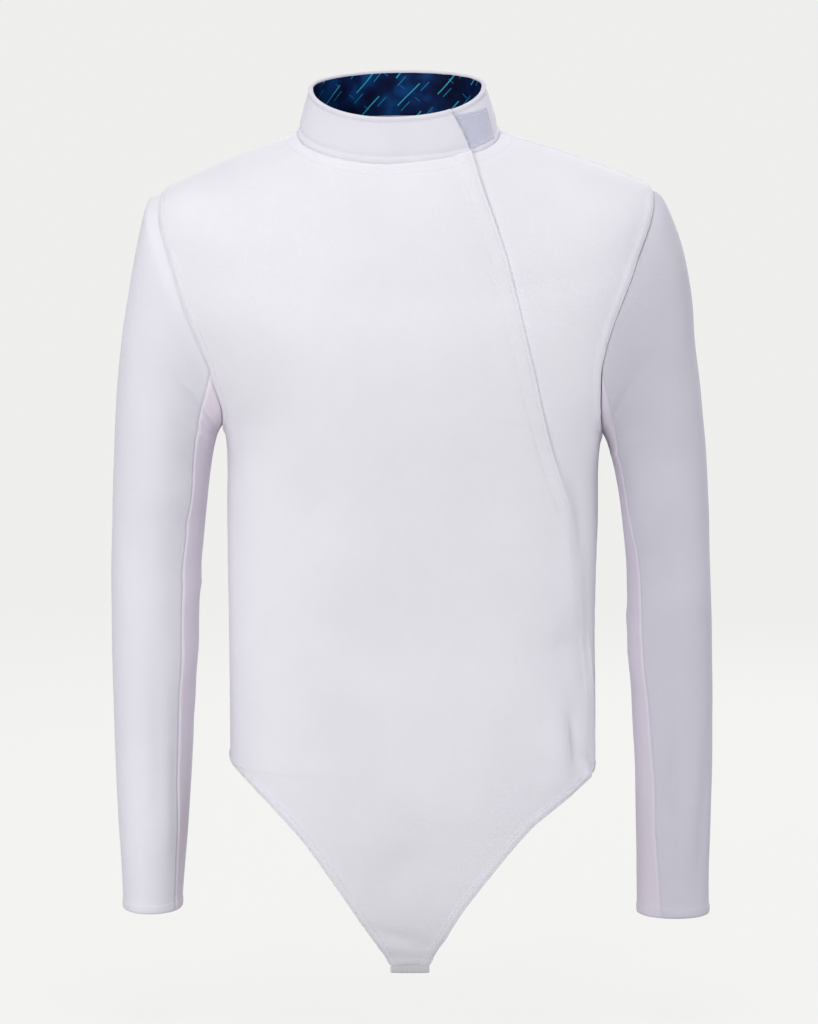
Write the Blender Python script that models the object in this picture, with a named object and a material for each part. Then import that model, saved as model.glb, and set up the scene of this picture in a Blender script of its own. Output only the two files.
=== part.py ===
"""A fencing jacket as it hangs on a wearer, with nobody in it.

It is cut and sewn from a wide right front that laps over a narrow left front, a back,
two-piece sleeves, a stand collar with its lining and loop tape, a zip under the lap and a
crotch strap. Tables are in millimetres, with +X to the wearer's left, the front towards -Y
and +Z up. The origin lies between the shoulders, level with the sides of the neck seam.
"""
import bmesh
import bpy
import math
from collections import namedtuple
from functools import lru_cache
from mathutils import Vector

MM = 0.001

# Cloth and seams

CLOTH = 2.0
COLLAR_CLOTH = 2.4
LINING_CLOTH = 1.0
LOOP_TAPE = 0.8
ZIP_TAPE = 1.2
STRAP_CLOTH = 2.0
SEAM_GAP = 0.3
NECK_SEAM_GAP = 0.5
SLEEVE_SEAM_GAP = 0.4
MITRE_SLIDE = 0.8
MITRE_LEAST_COSINE = 0.2

# Steps along a surface for its normal, in degrees, mm of drop and sleeve rows
RING_STEP = 0.5
SLEEVE_STEP = 0.1
SLEEVE_TURN_STEP = 1.0

# Halvings that find an angle on a line, and the sharpest bend that is shaded smooth
HALVINGS = 40
SMOOTH_ANGLE = 40.0

# Body: each ring runs round the body at one drop below the origin, measured at the right
# side. left and right are the x of its sides as seen from the front, front and back its y,
# front_drop and back_drop the drop of its middles, bow how late it leaves the side's drop,
# tilt how much lower its right end is, and fullness squares it off from an ellipse.

Ring = namedtuple("Ring", "drop left right front back front_drop back_drop bow tilt fullness")

BODY_RINGS = (
    Ring(3, -100.8, 78.3, -62, 62, 32.5, -15, 1.0, 0, 0.000),
    Ring(28, -165, 156, -86, 83, 69, 6, 1.6, -1, 0.010),
    Ring(57, -222, 214, -101, 96, 110, 50, 2.0, -4, 0.022),
    Ring(110, -230, 219, -112, 105, 156, 104, 2.0, -2, 0.030),
    Ring(160, -221, 208, -118, 108, 190, 156, 2.0, 1, 0.032),
    Ring(210, -196, 190, -120, 106, 226, 208, 2.0, 4, 0.032),
    Ring(261, -168.5, 171, -119, 102, 266, 261, 2.0, 7, 0.032),
    Ring(340, -164.5, 167.5, -114, 95, 341, 340, 2.0, 7, 0.032),
    Ring(430, -163, 165.5, -110, 91, 430, 430, 2.0, 8, 0.032),
    Ring(510, -163, 166, -111, 94, 510, 510, 2.0, 9, 0.032),
    Ring(565, -163, 166, -112, 99, 565, 565, 2.0, 9, 0.032),
    Ring(620, -161, 164, -109, 100, 620, 620, 2.0, 6, 0.026),
    Ring(670, -158, 160, -100, 98, 670, 670, 2.0, 3, 0.018),
    Ring(710, -155, 156, -86, 95, 710, 710, 2.0, 1, 0.010),
    Ring(745, -150, 150, -60, 90, 745, 745, 2.0, 0, 0.000),
)

COLLAR_RINGS = (
    Ring(-39, -90.2, 65.8, -55, 56, -7, -55, 1.0, -3, 0.000),
    Ring(-33, -91.9, 67.6, -56, 57, -1, -46, 1.0, -3, 0.000),
    Ring(-15, -96.8, 73.6, -59, 60, 15, -31, 1.0, -2, 0.000),
    Ring(3, -100.8, 78.3, -62, 62, 32.5, -15, 1.0, 0, 0.000),
)

NECK_DROP = 3
RIM_DROP = -39
SHOULDER_DROP = 57
UNDERARM_DROP = 261
HIP_DROP = 565
BACK_DIP = 24

# Armholes: how far each armhole cuts into the front and the back, in degrees of the ring
ARMHOLE_FRONT_TURN = 33.0
ARMHOLE_BACK_TURN = 32.0

# Lines drawn on the front, as x at each z

LinePoint = namedtuple("LinePoint", "z x")

LAP_EDGE = (
    LinePoint(-560, 162.0),
    LinePoint(-507, 159.4),
    LinePoint(-452, 156.0),
    LinePoint(-416, 150.5),
    LinePoint(-374, 145.0),
    LinePoint(-336, 138.0),
    LinePoint(-306, 128.5),
    LinePoint(-268, 118.0),
    LinePoint(-210, 105.5),
    LinePoint(-163, 94.5),
    LinePoint(-121, 84.7),
    LinePoint(-86, 73.5),
    LinePoint(-57, 63.0),
    LinePoint(-22, 52.0),
)

POINT_LEFT_EDGE = (
    LinePoint(-741, -19.0),
    LinePoint(-729, -25.0),
    LinePoint(-705, -41.0),
    LinePoint(-674, -61.0),
    LinePoint(-627, -94.5),
    LinePoint(-598, -122.0),
    LinePoint(-575, -148.0),
    LinePoint(-565, -163.0),
)

POINT_RIGHT_EDGE = (
    LinePoint(-741, 17.0),
    LinePoint(-729, 22.0),
    LinePoint(-714, 31.0),
    LinePoint(-690, 45.0),
    LinePoint(-660, 67.0),
    LinePoint(-617, 103.5),
    LinePoint(-598, 127.0),
    LinePoint(-580, 150.0),
    LinePoint(-565, 162.0),
)

# The lap: how far the parts under it reach from its edge, how high it rides over them, and
# the reaches where its columns of points lie, which the parts under it share
UNDERLAP = 14.0
ZIP_WIDTH = 30.0
LAP_FLAT = 46.0
LAP_RAMP = 40.0
LAP_REACHES = (86.0, 65.0, 44.0, 29.0, 14.0, 0.0)
LAP_RISE = CLOTH + SEAM_GAP
COLLAR_LAP_RISE = COLLAR_CLOTH + LOOP_TAPE + 2 * SEAM_GAP
COLLAR_LAP_FADE = 80.0
POINT_LAP_FADE = 45.0

# Collar ends, in degrees round the neck from the front centre
COLLAR_UNDER_END = 27.0
COLLAR_OVER_END = 405.0
COLLAR_RIM_SLANT = 9.0
LINING_END_GAP = 3.0

# Sleeves: outer and inner edges as seen from the front, half depth, y of the middle,
# and the places of the two seams in degrees from the outer edge, front first

SleeveRing = namedtuple(
    "SleeveRing", "outer_x outer_drop inner_x inner_drop depth middle_y front_seam back_seam")

RIGHT_SLEEVE_RINGS = (
    SleeveRing(-224, 57, -168.5, 261, 72, 0, 120, 240),
    SleeveRing(-235, 61, -170, 264, 71, 0, 121, 240),
    SleeveRing(-241, 79, -171.5, 267, 69, 0, 122, 240),
    SleeveRing(-248, 115, -174, 272, 66, 1, 124, 240),
    SleeveRing(-254, 151, -176.5, 281, 63, 2, 126, 239),
    SleeveRing(-260, 190, -179.5, 297, 60, 3, 128, 238),
    SleeveRing(-264.5, 240, -183, 326, 57, 4, 130, 237),
    SleeveRing(-267.5, 300, -187, 368, 54, 5, 130, 236),
    SleeveRing(-269.5, 365, -190.5, 415, 51, 5, 130, 235),
    SleeveRing(-270, 430, -193, 463, 48, 3, 130, 234),
    SleeveRing(-268.8, 495, -195, 512, 46, -1, 131, 232),
    SleeveRing(-266.5, 560, -197.3, 565, 43.5, -6, 132, 230),
    SleeveRing(-263.5, 620, -200.5, 620, 41, -11, 134, 228),
    SleeveRing(-260.8, 662, -204, 662, 39, -15, 136, 226),
    SleeveRing(-259, 697, -206.5, 697, 38, -18, 138, 225),
)

LEFT_SLEEVE_RINGS = (
    SleeveRing(214, 52, 171, 268, 72, 0, 105, 240),
    SleeveRing(223.5, 58, 172.5, 271, 71, 0, 112, 240),
    SleeveRing(232.5, 76, 174, 274, 69, 0, 120, 240),
    SleeveRing(243.5, 106, 176.5, 280, 66, 1, 130, 240),
    SleeveRing(251, 146, 179.5, 290, 63, 2, 140, 239),
    SleeveRing(255, 190, 183.5, 306, 60, 3, 148, 238),
    SleeveRing(261.5, 245, 189, 335, 57, 4, 150, 237),
    SleeveRing(266.5, 305, 193, 375, 54, 5, 146, 236),
    SleeveRing(269, 370, 195.5, 420, 51, 5, 140, 235),
    SleeveRing(271, 435, 197, 468, 48, 3, 135, 234),
    SleeveRing(272, 500, 199.5, 517, 45, -1, 131, 232),
    SleeveRing(271.8, 565, 202, 570, 41, -6, 128, 230),
    SleeveRing(270, 625, 203.2, 625, 37, -11, 124, 228),
    SleeveRing(268.8, 668, 203.6, 668, 34, -15, 118, 226),
    SleeveRing(268.2, 702, 204.3, 702, 33, -18, 114, 225),
)

ARMHOLE_STEPS = 12
SHAPE_FADE_ROWS = 5.0

# Soft folds: a line across the cloth from one drop and angle to another (a sleeve row and
# turn on a sleeve), how far the cloth moves out (or in, below zero) and how wide the fold is.
# The sizes of a degree and a sleeve row are the mean ones of the body and the sleeves.

Fold = namedtuple("Fold", "drop angle end_drop end_angle rise width")

BODY_MM_PER_DEGREE = 2.3
SLEEVE_ROW_MM = 55.0
SLEEVE_MM_PER_DEGREE = 0.85
FOLD_END_RISE = 0.35

BODY_FOLDS = (
    Fold(250, -70, 190, -38, 2.2, 24),
    Fold(275, -72, 235, -44, -2.0, 22),
    Fold(255, 70, 205, 50, 2.0, 22),
    Fold(500, 62, 575, 66, -3.0, 16),
    Fold(420, 52, 470, 58, -2.2, 20),
    Fold(330, -80, 520, -74, 1.8, 26),
    Fold(690, 2, 620, 8, -2.0, 26),
    Fold(255, 112, 215, 140, 2.4, 26),
    Fold(255, 248, 215, 220, 2.4, 26),
    Fold(380, 128, 460, 150, 2.0, 30),
    Fold(400, 235, 480, 212, -2.0, 30),
)

SLEEVE_FOLDS = (
    Fold(6.0, 150, 7.2, 60, 2.2, 20),
    Fold(7.4, 170, 8.2, 80, -2.0, 20),
    Fold(8.8, 190, 9.6, 110, 2.2, 20),
    Fold(9.2, 300, 10.0, 220, 2.0, 22),
    Fold(11.0, 160, 11.8, 70, -1.6, 20),
)

# Strap: drops of its sewn ends inside the front's point and inside the back hem, and its
# free stretch between them, as y and z of its outer face
STRAP_HALF_WIDTH = 17.0
STRAP_MIDDLE_X = -1.0
STRAP_FRONT_DROPS = (715, 728, 741)
STRAP_BACK_DROPS = (565, 558, 550)
STRAP_GAP = 0.6

StrapPoint = namedtuple("StrapPoint", "y z")

STRAP_LINE = (
    StrapPoint(-50.0, -750.5),
    StrapPoint(-32.0, -755.0),
    StrapPoint(-10.0, -753.5),
    StrapPoint(14.0, -744.0),
    StrapPoint(38.0, -726.0),
    StrapPoint(60.0, -700.0),
    StrapPoint(77.0, -670.0),
    StrapPoint(89.0, -638.0),
    StrapPoint(95.0, -608.0),
)

Tint = namedtuple("Tint", "name colour roughness")

WHITE_CLOTH = Tint("white_cloth", (0.80, 0.79, 0.84), 0.75)
SHADED_CLOTH = Tint("white_cloth_under", (0.74, 0.70, 0.77), 0.80)
BLUE_LINING = Tint("blue_lining", (0.004, 0.030, 0.110), 0.60)
LOOP_FACE = Tint("loop_tape", (0.55, 0.56, 0.66), 0.90)
ZIP_CLOTH = Tint("zip_tape", (0.70, 0.69, 0.72), 0.70)
STRAP_WEB = Tint("strap_webbing", (0.76, 0.75, 0.79), 0.80)


# Curves through tables

def smooth_at(keys, values, key):
    """Value at key on a smooth curve through a table whose keys rise."""
    last = len(keys) - 1
    cell = 0
    while cell < last - 1 and key > keys[cell + 1]:
        cell += 1
    span = keys[cell + 1] - keys[cell]
    part = (key - keys[cell]) / span
    slopes = []
    for knot in (cell, cell + 1):
        before = max(knot - 1, 0)
        after = min(knot + 1, last)
        slopes.append((values[after] - values[before]) / (keys[after] - keys[before]))
    rise = values[cell + 1] - values[cell]
    bend_in = slopes[0] * span - rise
    bend_out = rise - slopes[1] * span
    straight = values[cell] + part * rise
    return straight + part * (1 - part) * ((1 - part) * bend_in + part * bend_out)


def row_at(table, key):
    """Row of a table of named columns at any key between its rows."""
    columns = list(zip(*table))
    row_type = type(table[0])
    return row_type(*(smooth_at(columns[0], column, key) for column in columns))


@lru_cache(maxsize=None)
def body_ring(drop):
    return row_at(BODY_RINGS, drop)


@lru_cache(maxsize=None)
def collar_ring(drop):
    return row_at(COLLAR_RINGS, drop)


def ease(part):
    """0 to 1 with a level start and end."""
    part = min(max(part, 0.0), 1.0)
    return part * part * (3 - 2 * part)


# Body and collar surfaces

def ring_point(ring, angle):
    """Point on a ring, angle 0 at the front centre and 90 at the wearer's left side."""
    turn = math.radians(angle)
    full = ring.fullness
    across = (math.sin(turn) + full * math.sin(3 * turn)) / (1 - full)
    along = (math.cos(turn) - full * math.cos(3 * turn)) / (1 - full)
    depth = ring.front if along > 0 else ring.back
    low = ring.front_drop if along > 0 else ring.back_drop
    x = (ring.left + ring.right) / 2 + across * (ring.right - ring.left) / 2
    sink = ring.drop + (low - ring.drop) * abs(along) ** ring.bow + ring.tilt * (1 + across) / 2
    return Vector((x, depth * abs(along), -sink))


def fold_rise(folds, row, angle, row_scale, angle_scale):
    """How far the folds move the cloth out at a place, which the scales turn into mm."""
    rise = 0.0
    for fold in folds:
        run = Vector(((fold.end_drop - fold.drop) * row_scale,
                      (fold.end_angle - fold.angle) * angle_scale))
        turn = (angle - fold.angle + 180) % 360 - 180
        here = Vector(((row - fold.drop) * row_scale, turn * angle_scale))
        along = min(max(here.dot(run) / run.length_squared, 0.0), 1.0)
        aside = (here - run * along).length / fold.width
        swell = FOLD_END_RISE + (1 - FOLD_END_RISE) * math.sin(math.pi * along)
        rise += fold.rise * swell * math.exp(-aside * aside)
    return rise


def plain_body_point(drop, angle):
    dip = BACK_DIP * max(-math.cos(math.radians(angle)), 0.0) ** 2
    lower = (drop - UNDERARM_DROP) / (HIP_DROP - UNDERARM_DROP)
    point = ring_point(body_ring(drop), angle)
    point.z -= dip * min(max(lower, 0.0), 1.0)
    return point


def body_point(drop, angle):
    """Point of the body's outer face with its folds."""
    point = plain_body_point(drop, angle)
    outward = surface_normal(plain_body_point, drop, angle)
    return point + outward * fold_rise(BODY_FOLDS, drop, angle, 1.0, BODY_MM_PER_DEGREE)


def collar_point(drop, angle):
    return ring_point(collar_ring(drop), angle)


def surface_normal(surface, row, angle):
    """Unit normal that points out of a surface of rows that run down and angles that turn."""
    down = surface(row + RING_STEP, angle) - surface(row - RING_STEP, angle)
    round_it = surface(row, angle + RING_STEP) - surface(row, angle - RING_STEP)
    return down.cross(round_it).normalized()


def mitre(own, other):
    """Outward step of a wall's edge, for 1 mm of cloth, where it is sewn to another wall.

    Both walls get the same step, so their edges lie against each other. In a sharp inner
    corner the step is kept short, and the edges only part on the inside.
    """
    middle = (own + other).normalized()
    full = middle / max(middle.dot(own), MITRE_LEAST_COSINE)
    slide = full - own
    if slide.length > MITRE_SLIDE:
        slide *= MITRE_SLIDE / slide.length
    return own + slide


# Sleeve surfaces

def armhole_angle(side, turn):
    """Angle on the body of the armhole's edge: turn 0 is its top, 90 its front."""
    cut = math.sin(math.radians(turn))
    depth = ARMHOLE_FRONT_TURN if cut > 0 else ARMHOLE_BACK_TURN
    angle = 90 - depth * cut
    return angle if side > 0 else 360 - angle


def armhole_drop(turn):
    middle = (SHOULDER_DROP + UNDERARM_DROP) / 2
    return middle - (UNDERARM_DROP - SHOULDER_DROP) / 2 * math.cos(math.radians(turn))


def armhole_point(side, turn):
    return body_point(armhole_drop(turn), armhole_angle(side, turn))


def sleeve_rings(side):
    return LEFT_SLEEVE_RINGS if side > 0 else RIGHT_SLEEVE_RINGS


@lru_cache(maxsize=None)
def sleeve_ring(side, row):
    rings = sleeve_rings(side)
    keys = range(len(rings))
    row = min(max(row, 0), len(rings) - 1)
    return SleeveRing(*(smooth_at(keys, column, row) for column in zip(*rings)))


def sleeve_oval(ring, turn):
    outer = Vector((ring.outer_x, ring.middle_y, -ring.outer_drop))
    inner = Vector((ring.inner_x, ring.middle_y, -ring.inner_drop))
    point = (outer + inner) / 2 + (outer - inner) / 2 * math.cos(math.radians(turn))
    point.y -= ring.depth * math.sin(math.radians(turn))
    return point


def plain_sleeve_point(side, row, turn):
    point = sleeve_oval(sleeve_ring(side, row), turn)
    share = 1 - ease(row / SHAPE_FADE_ROWS)
    if share > 0:
        point += share * (armhole_point(side, turn) - sleeve_oval(sleeve_ring(side, 0), turn))
    return point


def sleeve_point(side, row, turn):
    """Point of a sleeve's outer face with its folds: turn 0 is its outer edge, 90 its front."""
    point = plain_sleeve_point(side, row, turn)
    rise = fold_rise(SLEEVE_FOLDS, row, turn, SLEEVE_ROW_MM, SLEEVE_MM_PER_DEGREE)
    return point + normal_on_sleeve(plain_sleeve_point, side, row, turn) * rise


def normal_on_sleeve(surface, side, row, turn):
    last = len(sleeve_rings(side)) - 1
    low = max(row - SLEEVE_STEP, 0.0)
    high = min(row + SLEEVE_STEP, last)
    before = turn - SLEEVE_TURN_STEP
    after = turn + SLEEVE_TURN_STEP
    down = surface(side, high, turn) - surface(side, low, turn)
    round_it = surface(side, row, after) - surface(side, row, before)
    return side * round_it.cross(down).normalized()


def sleeve_normal(side, row, turn):
    return normal_on_sleeve(sleeve_point, side, row, turn)


# Edges drawn on the body

def line_x(line, z):
    columns = list(zip(*line))
    z = min(max(z, columns[0][0]), columns[0][-1])
    return smooth_at(columns[0], columns[1], z)


def angle_on_line(line, drop, low, high):
    """Angle between low and high where the body's ring crosses a line seen from the front."""
    for _ in range(HALVINGS):
        angle = (low + high) / 2
        point = plain_body_point(drop, angle)
        if point.x > line_x(line, point.z):
            high = angle
        else:
            low = angle
    return (low + high) / 2


@lru_cache(maxsize=None)
def lap_angle(drop):
    return angle_on_line(LAP_EDGE, drop, 0.0, 89.0)


def angle_beside_lap(drop, reach):
    """Angle of the point that lies a reach in from the lap's edge, towards the front centre."""
    edge = plain_body_point(drop, lap_angle(drop))
    low = -60.0
    high = lap_angle(drop)
    for _ in range(HALVINGS):
        angle = (low + high) / 2
        if (plain_body_point(drop, angle) - edge).length > reach:
            low = angle
        else:
            high = angle
    return (low + high) / 2


def lap_rise(drop, reach):
    """How high the lap rides at a reach from its edge."""
    at_collar = 1 - ease((drop - NECK_DROP) / COLLAR_LAP_FADE)
    below = 1 - ease((drop - HIP_DROP) / POINT_LAP_FADE)
    rise = (LAP_RISE + (COLLAR_LAP_RISE - LAP_RISE) * at_collar) * below
    return rise * (1 - ease((reach - LAP_FLAT) / LAP_RAMP))


# Places on the cloth: an outer point and the step out of the cloth there

Place = namedtuple("Place", "point step")


def body_place(drop, angle, rise=0.0):
    """A place on the body, mitred where it lies on the neck seam or an armhole."""
    own = surface_normal(body_point, drop, angle)
    step = own
    if drop <= NECK_DROP:
        step = mitre(own, surface_normal(collar_point, drop, angle))
    return Place(body_point(drop, angle) + step * rise, step)


def armhole_place(side, turn, rise=0.0):
    drop = armhole_drop(turn)
    angle = armhole_angle(side, turn)
    own = surface_normal(body_point, drop, angle)
    step = mitre(own, sleeve_normal(side, 0, turn))
    return Place(body_point(drop, angle) + step * rise, step)


def sleeve_place(side, row, turn):
    own = sleeve_normal(side, row, turn)
    if row > 0:
        return Place(sleeve_point(side, row, turn), own)
    body = surface_normal(body_point, armhole_drop(turn), armhole_angle(side, turn))
    return Place(armhole_point(side, turn), mitre(own, body))


def collar_place(drop, angle, rise=0.0):
    own = surface_normal(collar_point, drop, angle)
    step = own
    if drop >= NECK_DROP:
        step = mitre(own, surface_normal(body_point, drop, angle))
    return Place(collar_point(drop, angle) + step * rise, step)


# Walls

def drawn_in(places, gap, ends):
    """A row of places whose named ends are moved along the row to leave a gap."""
    moved = list(places)
    if "first" in ends:
        towards = (places[1].point - places[0].point).normalized()
        moved[0] = Place(places[0].point + towards * gap, places[0].step)
    if "last" in ends:
        towards = (places[-2].point - places[-1].point).normalized()
        moved[-1] = Place(places[-1].point + towards * gap, places[-1].step)
    return moved


def first_row_moved(rows, gap):
    """Rows whose first row is moved towards the second, which leaves a gap at the seam."""
    moved = []
    for first, second in zip(rows[0], rows[1]):
        towards = (second.point - first.point).normalized()
        moved.append(Place(first.point + towards * gap, first.step))
    return [moved] + rows[1:]


def cloth_wall(name, rows, thickness, tint, height=0.0):
    """Closed wall of cloth under rows of places, all with the same number of places.

    Its seam edges follow the mitred steps, which a Solidify modifier doesn't know, so the
    two faces and the rim are made here. height lifts the outer face off the places.
    """
    mesh = bmesh.new()
    outer = []
    inner = []
    for row in rows:
        outer.append([mesh.verts.new((p.point + p.step * height) * MM) for p in row])
        inner.append([mesh.verts.new((p.point + p.step * (height - thickness)) * MM) for p in row])
    last_row = len(rows) - 1
    last_column = len(rows[0]) - 1
    for r in range(last_row):
        for c in range(last_column):
            mesh.faces.new((outer[r][c], outer[r][c + 1], outer[r + 1][c + 1], outer[r + 1][c]))
            mesh.faces.new((inner[r][c], inner[r + 1][c], inner[r + 1][c + 1], inner[r][c + 1]))
    for c in range(last_column):
        mesh.faces.new((outer[0][c], inner[0][c], inner[0][c + 1], outer[0][c + 1]))
        mesh.faces.new((outer[-1][c], outer[-1][c + 1], inner[-1][c + 1], inner[-1][c]))
    for r in range(last_row):
        mesh.faces.new((outer[r][0], outer[r + 1][0], inner[r + 1][0], inner[r][0]))
        mesh.faces.new((outer[r][-1], inner[r][-1], inner[r + 1][-1], outer[r + 1][-1]))
    bmesh.ops.recalc_face_normals(mesh, faces=mesh.faces)
    return add_piece(name, mesh, tint)


def add_piece(name, mesh, tint):
    data = bpy.data.meshes.new(name)
    mesh.to_mesh(data)
    mesh.free()
    data.shade_smooth()
    data.set_sharp_from_angle(angle=math.radians(SMOOTH_ANGLE))
    data.materials.append(cloth_material(tint))
    piece = bpy.data.objects.new(name, data)
    jacket_collection().objects.link(piece)
    return piece


def cloth_material(tint):
    material = bpy.data.materials.get(tint.name)
    if material is None:
        material = bpy.data.materials.new(tint.name)
        material.use_nodes = True
        shader = material.node_tree.nodes["Principled BSDF"]
        shader.inputs["Base Color"].default_value = (*tint.colour, 1.0)
        shader.inputs["Roughness"].default_value = tint.roughness
        shader.inputs["Metallic"].default_value = 0.0
    return material


def jacket_collection():
    collection = bpy.data.collections.get("fencing_jacket")
    if collection is None:
        collection = bpy.data.collections.new("fencing_jacket")
        bpy.context.scene.collection.children.link(collection)
    return collection


def spread(first, last, count):
    """count + 1 numbers from first to last."""
    return [first + (last - first) * i / count for i in range(count + 1)]


# Rows of the body panels

SHOULDER_ROWS = (3, 10, 20, 32, 45)
SIDE_ROWS = (280, 305, 335, 370, 410, 450, 490, 530, 565)
POINT_ROWS = (572, 583, 597, 614, 634, 656, 680, 700, 715, 728, 741)


def armhole_turns():
    return spread(0.0, 180.0, ARMHOLE_STEPS)


def lap_angles(drop):
    return [angle_beside_lap(drop, reach) for reach in LAP_REACHES]


def main_front_rows(columns):
    """Rows of the right front, from its side and armhole to the lap's edge."""
    rows = []
    for drop in SHOULDER_ROWS:
        rows.append(main_front_row(drop, -90, body_place(drop, -90), columns))
    for turn in armhole_turns():
        start = armhole_angle(-1, turn) - 360
        rows.append(main_front_row(armhole_drop(turn), start, armhole_place(-1, turn), columns))
    for drop in SIDE_ROWS:
        rows.append(main_front_row(drop, -90, body_place(drop, -90), columns))
    shares = [(angle + 90) / (lap_angle(HIP_DROP) + 90) for angle in hip_angles(columns)]
    for drop in POINT_ROWS:
        start = angle_on_line(POINT_LEFT_EDGE, drop, -90.0, 0.0)
        end = angle_on_line(POINT_RIGHT_EDGE, drop, 0.0, 90.0)
        angles = [start + share * (end - start) for share in shares]
        rows.append(lapped_row(drop, angles))
    return rows


def hip_angles(columns):
    lap = lap_angles(HIP_DROP)
    return spread(-90, lap[0], columns) + lap[1:]


def main_front_row(drop, start, edge, columns):
    lap = lap_angles(drop)
    row = lapped_row(drop, spread(start, lap[0], columns) + lap[1:])
    return drawn_in([edge] + row[1:], SEAM_GAP / 2, "first")


def lapped_row(drop, angles):
    brim = plain_body_point(drop, angles[-1])
    row = []
    for angle in angles:
        reach = (plain_body_point(drop, angle) - brim).length
        row.append(body_place(drop, angle, lap_rise(drop, reach)))
    return row


def side_front_rows(columns):
    """Rows of the left front, from under the lap to its side and armhole."""
    rows = []
    for drop in SHOULDER_ROWS:
        rows.append(side_front_row(drop, 90, body_place(drop, 90), columns))
    for turn in armhole_turns():
        angle = armhole_angle(1, turn)
        rows.append(side_front_row(armhole_drop(turn), angle, armhole_place(1, turn), columns))
    for drop in SIDE_ROWS:
        rows.append(side_front_row(drop, 90, body_place(drop, 90), columns))
    return rows


def side_front_row(drop, end, edge, columns):
    angles = [angle_beside_lap(drop, UNDERLAP)] + spread(lap_angle(drop), end, columns)
    row = [body_place(drop, angle) for angle in angles[:-1]]
    return drawn_in(row + [edge], SEAM_GAP / 2, "last")


def back_rows(columns):
    """Rows of the back, from the wearer's left side and armhole to the right."""
    rows = []
    for drop in SHOULDER_ROWS:
        rows.append(back_row(drop, 90, 270, body_place(drop, 90), body_place(drop, 270), columns))
    for turn in armhole_turns():
        left = armhole_place(1, 360 - turn)
        right = armhole_place(-1, 360 - turn)
        start = armhole_angle(1, 360 - turn)
        end = armhole_angle(-1, 360 - turn)
        rows.append(back_row(armhole_drop(turn), start, end, left, right, columns))
    for drop in SIDE_ROWS:
        rows.append(back_row(drop, 90, 270, body_place(drop, 90), body_place(drop, 270), columns))
    return rows


def back_row(drop, start, end, left_edge, right_edge, columns):
    row = [body_place(drop, angle) for angle in spread(start, end, columns)[1:-1]]
    return drawn_in([left_edge] + row + [right_edge], SEAM_GAP / 2, "first last")


# Pieces

MAIN_FRONT_COLUMNS = 14
SIDE_FRONT_COLUMNS = 5
BACK_COLUMNS = 20
ZIP_REACHES = (UNDERLAP + ZIP_WIDTH, UNDERLAP + ZIP_WIDTH / 2, UNDERLAP + SEAM_GAP)
COLLAR_COLUMNS = 42
LINING_COLUMNS = slice(0, 41)
PATCH_COLUMNS = slice(1, 6)


def make_fronts():
    cloth_wall("front_right", main_front_rows(MAIN_FRONT_COLUMNS), CLOTH, WHITE_CLOTH)
    cloth_wall("front_left", side_front_rows(SIDE_FRONT_COLUMNS), CLOTH, WHITE_CLOTH)


def make_back():
    cloth_wall("back", back_rows(BACK_COLUMNS), CLOTH, WHITE_CLOTH)


def sleeve_row(side, row, first_turn, last_turn, columns):
    places = [sleeve_place(side, row, turn) for turn in spread(first_turn, last_turn, columns)]
    return drawn_in(places, SLEEVE_SEAM_GAP / 2, "first last")


def make_sleeve(side, name):
    """Upper and under pieces of one sleeve, which meet at its two long seams."""
    upper = []
    under = []
    step = 180.0 / ARMHOLE_STEPS
    top_ring = sleeve_rings(side)[0]
    under_columns = round((top_ring.back_seam - top_ring.front_seam) / step)
    upper_columns = 2 * ARMHOLE_STEPS - under_columns
    for row, ring in enumerate(sleeve_rings(side)):
        front = ring.front_seam
        back = ring.back_seam
        upper.append(sleeve_row(side, row, back - 360, front, upper_columns))
        under.append(sleeve_row(side, row, front, back, under_columns))
    for part, rows, tint in (("upper", upper, WHITE_CLOTH), ("under", under, SHADED_CLOTH)):
        cloth_wall(f"{name}_{part}", first_row_moved(rows, SEAM_GAP), CLOTH, tint)


def collar_lap_rise(drop, angle):
    """How high the collar's lap rides: its right end goes over its left end."""
    if angle < 180:
        return 0.0
    reach = (collar_point(drop, angle) - collar_point(drop, COLLAR_OVER_END)).length
    return COLLAR_LAP_RISE * (1 - ease((reach - LAP_FLAT) / LAP_RAMP))


def collar_rows(drops):
    """Rows round the collar, from its under end to its over end, which slants at the rim."""
    rows = []
    for drop in drops:
        row = []
        slant = COLLAR_RIM_SLANT * (NECK_DROP - drop) / (NECK_DROP - RIM_DROP)
        for angle in spread(COLLAR_UNDER_END, COLLAR_OVER_END - slant, COLLAR_COLUMNS):
            row.append(collar_place(drop, angle, collar_lap_rise(drop, angle)))
        rows.append(row)
    return rows


def make_collar():
    """Collar band, the lining inside it and the loop tape on its under end."""
    rows = collar_rows((NECK_DROP, -8, -21, -33, RIM_DROP))
    cloth_wall("collar", first_row_moved(rows, NECK_SEAM_GAP), COLLAR_CLOTH, WHITE_CLOTH)
    rows = [row[LINING_COLUMNS] for row in collar_rows((1.5, -8, -21, -33, -37.5))]
    rows = [drawn_in(row, LINING_END_GAP, "last") for row in rows]
    depth = -COLLAR_CLOTH - SEAM_GAP
    cloth_wall("collar_lining", rows, LINING_CLOTH, BLUE_LINING, depth)
    rows = [row[PATCH_COLUMNS] for row in collar_rows((0, -8, -21, -28))]
    cloth_wall("collar_patch", rows, LOOP_TAPE, LOOP_FACE, LOOP_TAPE + SEAM_GAP)


def make_zip():
    """Closed zip, its tapes between the left front's edge and the inside of the lap."""
    rows = []
    for drop in SHOULDER_ROWS[1:] + tuple(map(armhole_drop, armhole_turns())) + SIDE_ROWS:
        angles = [angle_beside_lap(drop, reach) for reach in ZIP_REACHES]
        rows.append([body_place(drop, angle) for angle in angles])
    cloth_wall("zip", rows, ZIP_TAPE, ZIP_CLOTH)


def strap_xs():
    return spread(STRAP_MIDDLE_X - STRAP_HALF_WIDTH, STRAP_MIDDLE_X + STRAP_HALF_WIDTH, 2)


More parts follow.
